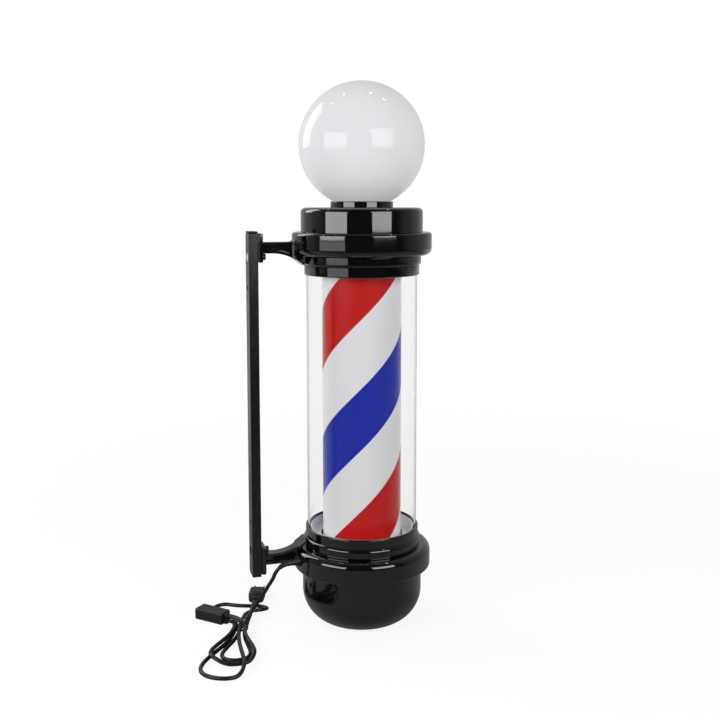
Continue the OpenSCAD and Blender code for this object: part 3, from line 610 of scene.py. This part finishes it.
bracket_mesh = joined(
    "bracket", spun_mesh("bracket_ring", ring_outline), bevelled(arm_mesh("bracket_arm"), 0.9),
    bevelled(block_mesh("bracket_pad", (-13, PAD_Y, 75.5), (13, 136, 111.5)), 1.6))
place_piece("lower_bracket_casting", bracket_mesh, black_enamel,
            replaces=["lower_bracket"])
place_piece("upper_bracket_casting", turned_over(bracket_mesh, "upper_bracket"), black_enamel,
            replaces=["upper_bracket"])

# Collars
# Stepped rings in the same enamel that hold the clear tube: a rounded bead
# against the bracket's ring and a thinner lip round the tube.
collar_outline = rounded([
    (66, 100.5, 0), (70.8, 100.5, 0), (70.8, 104, 0), (76, 104, 1.2), (76, 117, 4.2),
    (73.7, 117, 0), (73.7, 129, 1.4), (71.2, 129, 0.4), (71.2, 107, 0), (66, 107, 0),
])
for end, over in (("lower", None), ("upper", TWICE_MIDDLE)):
    place_piece(f"{end}_collar_ring", spun_mesh(f"{end}_collar", collar_outline, over=over), black_enamel,
                replaces=[f"{end}_collar"])

# Trays
# Thin white mouldings that line the tube's ends and close the ring between the
# drum and the tube. They hide the drive below and the bearing above.
tray_white = finish("tray_white", (0.8, 0.8, 0.8), (0.77, 0.77, 0.77),
                    rough=(0.1, 0.16), grain=500, bump=0.00001)
tray_outline = rounded([
    (66, 107, 0), (67.6, 107, 0), (67.6, 127.5, 0.7), (66, 127.5, 0.7), (66, 117, 0.6),
    (53.5, 117, 0.5), (53.5, 115, 0.3), (66, 115, 0.6),
])
for end, over in (("lower", None), ("upper", TWICE_MIDDLE)):
    place_piece(f"{end}_tray_ring", spun_mesh(f"{end}_tray", tray_outline, over=over), tray_white,
                replaces=[f"{end}_tray"])

# Clear tube
# A clear acrylic tube, its cut ends on rubber gaskets in the collars. It darkens
# at its limbs, where the eye looks along the wall, and lets the lamps' light in.
clear_acrylic = bpy.data.materials.new("clear_acrylic")
clear_acrylic.use_nodes = True
tree = clear_acrylic.node_tree
nodes, links = tree.nodes, tree.links
wall = nodes["Principled BSDF"]
wall.inputs["Roughness"].default_value = 0.0
wall.inputs["IOR"].default_value = 1.14
wall.inputs["Transmission Weight"].default_value = 1.0
limb = nodes.new("ShaderNodeLayerWeight")
limb.inputs["Blend"].default_value = 0.5
depth = nodes.new("ShaderNodeValToRGB")
depth.color_ramp.interpolation = "EASE"
clear_end, thick_end = depth.color_ramp.elements
clear_end.position, clear_end.color = 0.76, (0.945, 0.95, 0.95, 1)
thick_end.position, thick_end.color = 0.96, (0.02, 0.021, 0.021, 1)
links.new(limb.outputs["Facing"], depth.inputs["Fac"])
links.new(depth.outputs["Color"], wall.inputs["Base Color"])
open_way = nodes.new("ShaderNodeBsdfTransparent")
through = nodes.new("ShaderNodeMixShader")
links.new(either_ray(tree, "Is Shadow Ray", "Is Diffuse Ray"), through.inputs["Fac"])
links.new(wall.outputs["BSDF"], through.inputs[1])
links.new(open_way.outputs["BSDF"], through.inputs[2])
links.new(through.outputs["Shader"], nodes["Material Output"].inputs["Surface"])
tube_outline = rounded([(69.4, 109, 0.3), (71, 109, 0.3), (71, 477, 0.3), (69.4, 477, 0.3)], steps=3)
place_piece("clear_tube", spun_mesh("clear_tube", tube_outline), clear_acrylic,
            replaces=["outer_tube"])
gasket_rubber = finish("gasket_rubber", (0.02, 0.02, 0.02), (0.03, 0.03, 0.03),
                       rough=(0.6, 0.75), grain=900, bump=0.00002)


def paint_solids(material, *names):
    """Gives solids of the frame, which stay in view, their own finish."""
    for name in names:
        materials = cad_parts[name].data.materials
        materials.clear()
        materials.append(material)


paint_solids(gasket_rubber, "lower_gasket", "upper_gasket")

# Drum
# A milky white plastic tube that turns behind the clear one, with a plate at
# each end. It glows faintly and evenly, which is painted light.
# The emission is painted light: an even glow that brightens the drum, not light from a lamp.
drum_white = finish("drum_white", (0.9, 0.89, 0.915), (0.88, 0.87, 0.895),
                    rough=(0.25, 0.33), grain=300, bump=0.000008, Specular_IOR_Level=0.2,
                    Emission_Color=(1, 0.99, 1, 1), Emission_Strength=0.09)
DRUM_R, DRUM_LO, DRUM_HI = 51.0, 117.5, 468.5
drum_outline = rounded([(DRUM_R - 1.5, DRUM_LO, 0), (DRUM_R, DRUM_LO, 0.3),
                        (DRUM_R, DRUM_HI, 0.3), (DRUM_R - 1.5, DRUM_HI, 0)], steps=3)
place_piece("drum_tube", spun_mesh("drum_tube", drum_outline), drum_white,
            replaces=["drum"], body="roller")

# Stripes
# Self-adhesive film in red and blue, a quarter of the drum each, wound on it
# from end to end. Each film is a grid that is rolled up along the helix.
PITCH = 324.0
FILM_R, FILM_T = DRUM_R + 0.06, 0.3
FACING = math.radians(164)


def film_tree():
    """A flat grid as high as the drum and as wide as the film's turn, rolled up round the axis."""
    tree = bpy.data.node_groups.new("wound_film", "GeometryNodeTree")
    face = tree.interface
    face.new_socket("Geometry", in_out="OUTPUT", socket_type="NodeSocketGeometry")
    for label in ("Radius", "Low End", "Height", "Pitch", "Start Turn", "Width Turn"):
        face.new_socket(label, in_out="INPUT", socket_type="NodeSocketFloat")
    face.new_socket("Film", in_out="INPUT", socket_type="NodeSocketMaterial")
    nodes, links = tree.nodes, tree.links
    given = nodes.new("NodeGroupInput")
    grid = nodes.new("GeometryNodeMeshGrid")
    grid.inputs["Vertices X"].default_value = 25
    grid.inputs["Vertices Y"].default_value = 241
    links.new(given.outputs["Width Turn"], grid.inputs["Size X"])
    links.new(given.outputs["Height"], grid.inputs["Size Y"])
    place = nodes.new("GeometryNodeInputPosition")
    parts = nodes.new("ShaderNodeSeparateXYZ")
    links.new(place.outputs["Position"], parts.inputs["Vector"])

    def worked(operation, a, b):
        node = nodes.new("ShaderNodeMath")
        node.operation = operation
        for socket, value in zip(node.inputs, (a, b)):
            if isinstance(value, (int, float)):
                socket.default_value = value
            elif value is not None:
                links.new(value, socket)
        return node.outputs[0]

    half = worked("MULTIPLY", given.outputs["Height"], 0.5)
    up = worked("ADD", parts.outputs["Y"], half)
    turn = worked("MULTIPLY", worked("DIVIDE", up, given.outputs["Pitch"]), 2 * math.pi)
    angle = worked("ADD", worked("ADD", parts.outputs["X"], given.outputs["Start Turn"]), turn)
    rolled = nodes.new("ShaderNodeCombineXYZ")
    for axis, wave in (("X", "COSINE"), ("Y", "SINE")):
        reach = worked("MULTIPLY", worked(wave, angle, None), given.outputs["Radius"])
        links.new(reach, rolled.inputs[axis])
    links.new(worked("ADD", up, given.outputs["Low End"]), rolled.inputs["Z"])
    roll = nodes.new("GeometryNodeSetPosition")
    links.new(grid.outputs["Mesh"], roll.inputs["Geometry"])
    links.new(rolled.outputs["Vector"], roll.inputs["Position"])
    real = nodes.new("GeometryNodeRealizeInstances")
    links.new(roll.outputs["Geometry"], real.inputs["Geometry"])
    paint = nodes.new("GeometryNodeSetMaterial")
    links.new(real.outputs["Geometry"], paint.inputs["Geometry"])
    links.new(given.outputs["Film"], paint.inputs["Material"])
    out = nodes.new("NodeGroupOutput")
    links.new(paint.outputs["Geometry"], out.inputs["Geometry"])
    return tree


def from_tree(name, tree, values):
    """A plain mesh made by a tree whose named inputs are set before it is evaluated."""
    piece = temporary(bpy.data.meshes.new(name))
    maker = piece.modifiers.new("maker", "NODES")
    maker.node_group = tree
    sockets = {s.name: s.identifier for s in tree.interface.items_tree if s.in_out == "INPUT"}
    for label, value in values.items():
        maker[sockets[label]] = value
    return settled(piece)


def thickened(mesh, thickness):
    piece = temporary(mesh)
    wall = piece.modifiers.new("wall", "SOLIDIFY")
    wall.thickness = thickness * MM
    wall.offset = 1
    return settled(piece)


wound_film = film_tree()


def stripe(name, edge_z, tall, film, node):
    """A band of this height, whose lower edge is at edge_z on the side that faces the camera."""
    width = 2 * math.pi * tall / PITCH
    top_turn = FACING + 2 * math.pi * (DRUM_LO - edge_z) / PITCH
    mesh = from_tree(name, wound_film, {
        "Radius": FILM_R * MM, "Low End": DRUM_LO * MM, "Height": (DRUM_HI - DRUM_LO) * MM,
        "Pitch": PITCH * MM, "Start Turn": top_turn - width / 2, "Width Turn": width, "Film": film})
    mesh.flip_normals()
    place_piece(name, thickened(mesh, FILM_T), film, replaces=[node], body="roller")


red_film = finish("red_film", (0.68, 0.006, 0.007), (0.64, 0.005, 0.006),
                  rough=(0.2, 0.26), grain=240, bump=0.000006, Specular_IOR_Level=0.2)
blue_film = finish("blue_film", (0.008, 0.027, 0.48), (0.007, 0.024, 0.45),
                   rough=(0.2, 0.26), grain=240, bump=0.000006, Specular_IOR_Level=0.2)
stripe("red_band", edge_z=404.2, tall=80.0, film=red_film, node="red_stripe")
stripe("blue_band", edge_z=239.0, tall=78.5, film=blue_film, node="blue_stripe")

# Top cap and gallery
# A spun cap in the same enamel over the upper ring, and the gallery on it that
# holds the ball by its neck.
cap_outline = rounded([
    (72.8, 508, 0.4), (75.3, 508, 0.4), (75.3, 511, 0), (78, 511, 0.5), (78, 542, 6), (7.05, 542, 0),
    (7.05, 539.5, 0), (75.5, 539.5, 3.5), (75.5, 515, 0), (72.8, 515, 0),
])
place_piece("cap", spun_mesh("cap", cap_outline), black_enamel,
            replaces=["top_cap"])
gallery_outline = rounded([
    (7.05, 542, 0), (40, 542, 0.6), (40, 550, 1.2), (37, 550, 0.5), (37, 544.5, 0.6), (7.05, 544.5, 0),
])
place_piece("gallery", spun_mesh("gallery", gallery_outline), black_enamel,
            replaces=["globe_gallery"])

# Ball
# A blown opal ball with an even milky wall and a short neck. It glows faintly and evenly, which is
# painted light.
# The emission is painted light: an even glow in place of daylight that would pass through the milky wall.
opal = finish("opal", (0.69, 0.685, 0.715), (0.675, 0.67, 0.7),
              rough=(0.03, 0.05), grain=120, bump=0.000002, Specular_IOR_Level=0.3,
              Emission_Color=(1, 0.985, 1, 1), Emission_Strength=0.28)
BALL_R, BALL_Z, NECK_R, NECK_LO, BALL_WALL = 80.0, 621.03, 36.8, 544.5, 2.5


def ball_outline():
    """The ball's wall in half section, from its neck over the top and back inside."""
    low = -math.acos(NECK_R / BALL_R)
    high = math.pi / 2
    outside = [Vector((BALL_R * math.cos(a), BALL_Z + BALL_R * math.sin(a)))
               for a in [low + (high - low) * i / 96 for i in range(97)]]
    r, neck = BALL_R - BALL_WALL, NECK_R - BALL_WALL
    low = -math.acos(neck / r)
    inside = [Vector((r * math.cos(a), BALL_Z + r * math.sin(a)))
              for a in [high + (low - high) * i / 96 for i in range(97)]]
    return [*outside, *inside, Vector((neck, NECK_LO)), Vector((NECK_R, NECK_LO))]


place_piece("ball", spun_mesh("ball", ball_outline()), opal, replaces=["globe"])

# Wall bar
# A flat steel tube in satin black powder, closed by a plastic cap at each end.
# Two screws go in through the wide holes in its front and hold its back to the wall.
bar_powder = finish("bar_powder", (0.009, 0.009, 0.0093), (0.011, 0.011, 0.0113),
                    rough=(0.2, 0.28), grain=1400, bump=0.00002)
BAR_HALF, BAR_FRONT, BAR_BACK, BAR_LO, BAR_HI = 12.5, 136, 148, 75, 511
SCREWS_Z, BOLT_Z = (143, 443), 105
UPPER_BOLT_Z = TWICE_MIDDLE - BOLT_Z
bar_mesh = block_mesh("bar", (-BAR_HALF, BAR_FRONT, BAR_LO), (BAR_HALF, BAR_BACK, BAR_HI))
bar_mesh = bevelled(bar_mesh, 1.5, 4)


def rod_mesh(name, at, r, length, sides=48):
    """A round rod from a point along the Y axis."""
    shape = bmesh.new()
    way = Vector((0, 1, 0))
    turn = way.to_track_quat("Z", "Y").to_matrix().to_4x4()
    middle = Vector(at) + way * length / 2
    bmesh.ops.create_cone(shape, cap_ends=True, segments=sides, radius1=r * MM, radius2=r * MM,
                          depth=length * MM, matrix=Matrix.Translation(middle * MM) @ turn)
    return as_mesh(name, shape, turn_out=False)


def drilled(mesh, name, at, r, depth, sides=48):
    """The mesh with a hole drilled into it from a point along the Y axis."""
    return combined(mesh, rod_mesh(name, at, r, depth, sides), "DIFFERENCE")


for z in SCREWS_Z:
    bar_mesh = drilled(bar_mesh, "wide_hole", (0, BAR_FRONT - 1, z), 6, 7.5)
    bar_mesh = drilled(bar_mesh, "screw_hole", (0, BAR_FRONT + 5, z), 3, 8)
for z in (BOLT_Z, UPPER_BOLT_Z):
    bar_mesh = drilled(bar_mesh, "nut_hole", (0, BAR_FRONT + 6, z), 5.6, 8)
place_piece("bar", bar_mesh, bar_powder, replaces=["wall_bar"])

black_moulding = finish("black_moulding", (0.012, 0.012, 0.0125), (0.017, 0.017, 0.0175),
                        rough=(0.36, 0.48), grain=1100, bump=0.00002)
end_cap = block_mesh("end_cap", (-BAR_HALF + 0.2, BAR_FRONT + 0.2, BAR_LO - 2),
                     (BAR_HALF - 0.2, BAR_BACK - 0.2, BAR_LO - 0.1))
end_cap = bevelled(end_cap, 0.94, 3)
place_piece("lower_end_cap", end_cap, black_moulding, replaces=["bar_end_caps"])
place_piece("upper_end_cap", turned_over(end_cap, "upper_end_cap"), black_moulding)

# Bolts
# Two M5 socket screws in black finish that hold the pads to the bar, with zinc
# nuts inside it. A white plastic plug closes the upper nut's hole.
bolt_black = finish("bolt_black", (0.014, 0.014, 0.015), (0.02, 0.02, 0.021),
                    rough=(0.25, 0.35), grain=700, bump=0.00001)


def bolt_mesh(name):
    """The screw is turned upright on the axis and then laid down in its hole."""
    outline = rounded([(0, 125, 0), (4, 125, 0.9), (4, PAD_Y, 0.2), (2.5, PAD_Y, 0),
                       (2.5, 142, 0.4), (0, 142, 0)], 4)
    mesh = spun_mesh(name, outline, 48)
    mesh.transform(Matrix.Translation((0, 0, BOLT_Z * MM)) @ Matrix.Rotation(math.radians(-90), 4, "X"))
    return drilled(mesh, "hex_socket", (0, 124, BOLT_Z), 2.3, 3.6, 6)


bolt = bolt_mesh("bolt")
place_piece("lower_bolt", bolt, bolt_black, replaces=["bar_bolts"])
place_piece("upper_bolt", turned_over(bolt, "upper_bolt"), bolt_black)
plug_white = finish("plug_white", (0.82, 0.82, 0.82), (0.78, 0.78, 0.78),
                    rough=(0.3, 0.4), grain=600, bump=0.00001)
hole_plug = bevelled(rod_mesh("hole_plug", (0, 144.5, UPPER_BOLT_Z), 5.5, 3.4), 0.5, 2)
place_piece("hole_plug", hole_plug, plug_white)

# Gland
# A black rubber strain relief in the lower ring: a round flange and a tapered,
# ribbed sleeve that follows the lead for about two centimetres.
gland_rubber = finish("gland_rubber", (0.009, 0.009, 0.0095), (0.013, 0.013, 0.0135),
                      rough=(0.36, 0.46), grain=1000, bump=0.00002)


def sleeve_mesh(name, line, radii, sides=28):
    """A tube round the line whose radius changes along it, closed at both ends."""
    sections = []
    for i, p in enumerate(line):
        way = (line[min(i + 1, len(line) - 1)] - line[max(i - 1, 0)]).normalized()
        side = way.cross(Vector((0, 0, 1))).normalized()
        up = side.cross(way)
        sections.append([(p + radii[i] * (math.cos(a) * side + math.sin(a) * up)) * MM
                         for a in [2 * math.pi * k / sides for k in range(sides)]])
    return lofted(name, sections)


def gland_line():
    """Points and radii from inside the ring over the flange to the end of the sleeve."""
    inner = gland_way * 82.5 + Vector((0, 0, gland_z))
    face = gland_way * ring_reach + Vector((0, 0, gland_z))
    found = [(inner, 4.4), (face - gland_way * 0.2, 4.4), (face, 6.3), (face + gland_way * 2.4, 6.3),
             (face + gland_way * 3.0, 5.7), (face + gland_way * 3.2, 4.5), (gland_tip, 4.1)]
    tail = [p for p in lead_line if 0.5 < (p - gland_tip).length < 19]
    for i, p in enumerate(tail):
        found.append((p, 4.1 - 1.2 * (i + 1) / len(tail) + (0.25 if i % 4 == 1 else 0)))
    return found


gland_points, gland_radii = zip(*gland_line())
gland = place_piece("gland", sleeve_mesh("gland", gland_points, gland_radii), gland_rubber,
                    replaces=["cord_gland"])

# Tie
# A black nylon tie, a flat band that is pulled tight round the six strands at
# the hank's waist.
tie_nylon = finish("tie_nylon", (0.012, 0.012, 0.0125), (0.016, 0.016, 0.0165),
                   rough=(0.32, 0.42), grain=900, bump=0.00001)
TIE_GAP, TIE_T, TIE_W = 0.3, 1.0, 3.5


def tie_mesh(name):
    """A flat band with round corners, set across the hank."""
    half, half_w, r = LANE + CORD_R + TIE_GAP, TIE_W / 2, 2.8
    low, high = WAIST_LO - CORD_R - TIE_GAP, WAIST_HI + CORD_R + TIE_GAP
    inner = rounded([(-half, low, r), (half, low, r), (half, high, r), (-half, high, r)], 6)
    half, low, high, r = half + TIE_T, low - TIE_T, high + TIE_T, r + TIE_T
    outer = rounded([(-half, low, r), (half, low, r), (half, high, r), (-half, high, r)], 6)
    shape = bmesh.new()
    rows = [[shape.verts.new(in_row((u, p.x, p.y)) * MM) for p in line]
            for u, line in ((-half_w, outer), (half_w, outer), (half_w, inner), (-half_w, inner))]
    count = len(inner)
    for a in range(4):
        for i in range(count):
            j = (i + 1) % count
            b = (a + 1) % 4
            shape.faces.new((rows[a][i], rows[a][j], rows[b][j], rows[b][i]))
    return as_mesh(name, shape)


tie = place_piece("tie", tie_mesh("tie"), tie_nylon, replaces=["cord_tie"])

# Switch
# An in-line rocker switch in two glued black shells that lies on its edge, with
# both flexes in one end. The rocker looks away from the photograph's camera.
switch_black = finish("switch_black", (0.009, 0.009, 0.0095), (0.013, 0.013, 0.0135),
                      rough=(0.3, 0.42), grain=1200, bump=0.00002)
switch_at = plug_route[0]
switch_turn = hank_turn + math.radians(SWITCH_ARC_END + 90)
BOOT_L, SWITCH_L, SWITCH_W, SWITCH_H, SWITCH_LO = 4.0, 44.0, 20.0, 15.0, 0.3
to_switch = Matrix.Translation((switch_at.x * MM, switch_at.y * MM, 0))
to_switch = to_switch @ Matrix.Rotation(switch_turn, 4, "Z")
shell = bevelled(block_mesh("switch_shell", (BOOT_L, -SWITCH_W / 2, SWITCH_LO),
                            (BOOT_L + SWITCH_L, SWITCH_W / 2, SWITCH_LO + SWITCH_H)), 2.2, 5)
boot = bevelled(block_mesh("switch_boot", (0, -4, SWITCH_LO), (BOOT_L + 3, 4, 13.6)), 1.2, 4)
shell = combined(shell, boot, "UNION")
middle_x, middle_z = BOOT_L + SWITCH_L / 2, SWITCH_LO + SWITCH_H / 2
WELL_HALF_L, WELL_HALF_H, SEAM_HALF, SEAM_DEPTH = 7.6, 4.9, 0.2, 0.5
well = block_mesh("switch_well", (middle_x - WELL_HALF_L, -11, middle_z - WELL_HALF_H),
                  (middle_x + WELL_HALF_L, 0.5, middle_z + WELL_HALF_H))
shell = combined(shell, well, "DIFFERENCE")
seam = block_mesh("switch_seam", (BOOT_L + 0.4, -SWITCH_W, middle_z - SEAM_HALF),
                  (BOOT_L + SWITCH_L + 1, SWITCH_W, middle_z + SEAM_HALF))
core = block_mesh("seam_core", (BOOT_L + 0.9, -SWITCH_W / 2 + SEAM_DEPTH, middle_z - 1),
                  (BOOT_L + SWITCH_L - SEAM_DEPTH, SWITCH_W / 2 - SEAM_DEPTH, middle_z + 1))
seam = combined(seam, core, "DIFFERENCE")
shell = combined(shell, seam, "DIFFERENCE")
shell.transform(to_switch)
switch = place_piece("switch_shells", shell, switch_black,
                     replaces=["switch_body"])
ROCKER_HALF_H, ROCKER_HALF_L, ROCKER_REST = 4.5, 6.4, -8


def rocker_mesh(name):
    """The rocker on its pin, with a shallow vee on its face, in its rest position."""
    outline = rounded([(-ROCKER_HALF_L, 1, 0.3), (-ROCKER_HALF_L, -6.6, 0.9), (0, -5.8, 0),
                       (ROCKER_HALF_L, -6.6, 0.9), (ROCKER_HALF_L, 1, 0.3), (0, 2.5, 0)], 4)
    mesh = lofted(name, [[(p.x * MM, p.y * MM, z * MM) for p in outline]
                         for z in (-ROCKER_HALF_H, ROCKER_HALF_H)])
    mesh.transform(Matrix.Rotation(math.radians(ROCKER_REST), 4, "Z"))
    return mesh


rocker_gloss = finish("rocker_gloss", (0.014, 0.014, 0.0145), (0.018, 0.018, 0.0185),
                      rough=(0.14, 0.22), grain=700, bump=0.000006)
rocker = rocker_mesh("rocker")
rocker.transform(to_switch @ Matrix.Translation((middle_x * MM, -4.5 * MM, middle_z * MM)))
rocker_piece = place_piece("rocker_button", rocker, rocker_gloss,
                           replaces=["switch_rocker"], body="rocker")

# Plug
# A moulded two-blade plug: a ribbed grip that tapers to the flex, and two flat
# brass blades, each with a hole near its end.
plug_at = plug_route[-1]
plug_way = plug_at - plug_route[-2]
plug_turn = math.atan2(plug_way.y, plug_way.x)
to_plug = Matrix.Translation((plug_at.x * MM, plug_at.y * MM, 0)) @ Matrix.Rotation(plug_turn, 4, "Z")
PLUG_W, PLUG_H, PLUG_LO, PLUG_END = 21.0, 16.0, 0.2, 30.0
FLEX_END_R, PLUG_SIDES = 3.7, 40


def plug_mesh(name):
    """The grip through stations of (distance, growth) from the flex's round to the plug's oblong."""
    stations = [(0, 0), (1.2, 0.03), (3, 0.1), (3.4, 0.08), (4.4, 0.16), (4.8, 0.14), (6, 0.36),
                (8, 0.68), (10, 0.9), (12, 0.985), (15, 1), (18, 1), (19, 0.94), (20, 1), (21, 0.94),
                (22, 1), (23, 0.94), (24, 1), (28.6, 1), (29.6, 0.96), (PLUG_END, 0.9)]
    sections = []
    for x, grow in stations:
        wide = FLEX_END_R + (PLUG_W / 2 - FLEX_END_R) * grow
        tall = FLEX_END_R + (PLUG_H / 2 - FLEX_END_R) * grow
        centre = plug_at.z + (PLUG_LO + PLUG_H / 2 - plug_at.z) * grow
        square = 2 / (2 + 3 * grow)
        section = []
        for k in range(PLUG_SIDES):
            a = 2 * math.pi * k / PLUG_SIDES
            c, s = math.cos(a), math.sin(a)
            section.append((x * MM, wide * math.copysign(abs(c) ** square, c) * MM,
                            (centre + tall * math.copysign(abs(s) ** square, s)) * MM))
        sections.append(section)
    return lofted(name, sections)


plug_grip = plug_mesh("plug_grip")
plug_grip.transform(to_plug)
plug = place_piece("plug_grip", plug_grip, switch_black,
                   replaces=["plug_body"], crease=50)
BLADE_APART, BLADE_L, BLADE_W, BLADE_T, BLADE_Z = 12.7, 17.0, 6.3, 1.5, 8.2


def blade_mesh(name, side):
    """A flat blade on this side of the plug's middle, with its hole."""
    y = side * BLADE_APART / 2
    blade = block_mesh(name, (PLUG_END, y - BLADE_T / 2, BLADE_Z - BLADE_W / 2),
                       (PLUG_END + BLADE_L, y + BLADE_T / 2, BLADE_Z + BLADE_W / 2))
    return drilled(bevelled(blade, 0.5, 2), "blade_hole", (PLUG_END + 13.5, y - 2, BLADE_Z), 1.6, 4, 24)


blade_brass = finish("blade_brass", (0.6, 0.47, 0.24), (0.52, 0.4, 0.2),
                     rough=(0.2, 0.3), grain=400, bump=0.000006, stretch=(1, 1, 8), Metallic=1.0)
for side, node in ((-1, ["plug_blades"]), (1, ())):
    blade = blade_mesh("blade", side)
    blade.transform(to_plug)
    label = "near_blade" if side < 0 else "far_blade"
    place_piece(label, blade, blade_brass, replaces=node)

# Inside: column, drive and bearings
# Zinc-plated steel, acetal gears and nylon bushes, as such drives have them.
zinc_steel = finish("zinc_steel", (0.56, 0.57, 0.58), (0.5, 0.51, 0.53),
                    rough=(0.28, 0.4), grain=300, bump=0.000008, stretch=(1, 1, 6), Metallic=1.0)
motor_steel = finish("motor_steel", (0.48, 0.49, 0.51), (0.42, 0.43, 0.45),
                     rough=(0.3, 0.42), grain=260, bump=0.000008, Metallic=1.0)
washer_brass = finish("washer_brass", (0.6, 0.47, 0.24), (0.53, 0.41, 0.21),
                      rough=(0.25, 0.35), grain=300, bump=0.000006, Metallic=1.0)
acetal = finish("acetal", (0.74, 0.68, 0.52), (0.7, 0.64, 0.49),
                rough=(0.3, 0.4), grain=500, bump=0.00001)
nylon = finish("nylon", (0.78, 0.77, 0.72), (0.73, 0.72, 0.68),
               rough=(0.35, 0.45), grain=500, bump=0.00001)
plate_plastic = finish("plate_plastic", (0.74, 0.74, 0.74), (0.7, 0.7, 0.7),
                       rough=(0.35, 0.45), grain=500, bump=0.00001)
paint_solids(zinc_steel, "column", "column_nuts", "retaining_collar", "motor_plate",
             "motor_screws", "motor_shaft", "bar_nuts")
paint_solids(motor_steel, "motor_body")
paint_solids(washer_brass, "thrust_washer")
paint_solids(acetal, "drive_gear", "pinion")
paint_solids(nylon, "lower_bush", "upper_bush")
paint_solids(plate_plastic, "drum_lower_plate", "drum_upper_plate")

# Inside: lamps and wiring
# The aluminium lamp carrier with its strips, the ball's lamp, the driver, the
# terminal block and the wires.
aluminium = finish("aluminium", (0.68, 0.69, 0.7), (0.62, 0.63, 0.64),
                   rough=(0.3, 0.4), grain=200, bump=0.000008, stretch=(1, 1, 0.1), Metallic=1.0)
strip_board = finish("strip_board", (0.8, 0.78, 0.68), (0.76, 0.74, 0.65),
                     rough=(0.4, 0.5), grain=400, bump=0.00001)
holder_black = finish("holder_black", (0.02, 0.02, 0.021), (0.026, 0.026, 0.027),
                      rough=(0.35, 0.45), grain=700, bump=0.00001)
diffuser = finish("diffuser", (0.82, 0.81, 0.77), (0.79, 0.78, 0.74),
                  rough=(0.45, 0.55), grain=400, bump=0.00001)
driver_case = finish("driver_case", (0.74, 0.74, 0.74), (0.7, 0.7, 0.7),
                     rough=(0.4, 0.5), grain=700, bump=0.00002)
terminal_case = finish("terminal_case", (0.66, 0.66, 0.6), (0.62, 0.62, 0.57),
                       rough=(0.4, 0.5), grain=700, bump=0.00001)
wire_sheath = finish("wire_sheath", (0.46, 0.44, 0.4), (0.42, 0.4, 0.37),
                     rough=(0.4, 0.5), grain=700, bump=0.00001)
paint_solids(aluminium, "lamp_carrier")
paint_solids(strip_board, "lamp_strips")
paint_solids(holder_black, "lamp_holder")
paint_solids(diffuser, "bulb")
paint_solids(driver_case, "lamp_driver")
paint_solids(terminal_case, "terminal_block")
paint_solids(wire_sheath, "inner_wires")
paint_solids(jacket, "cord_inside")
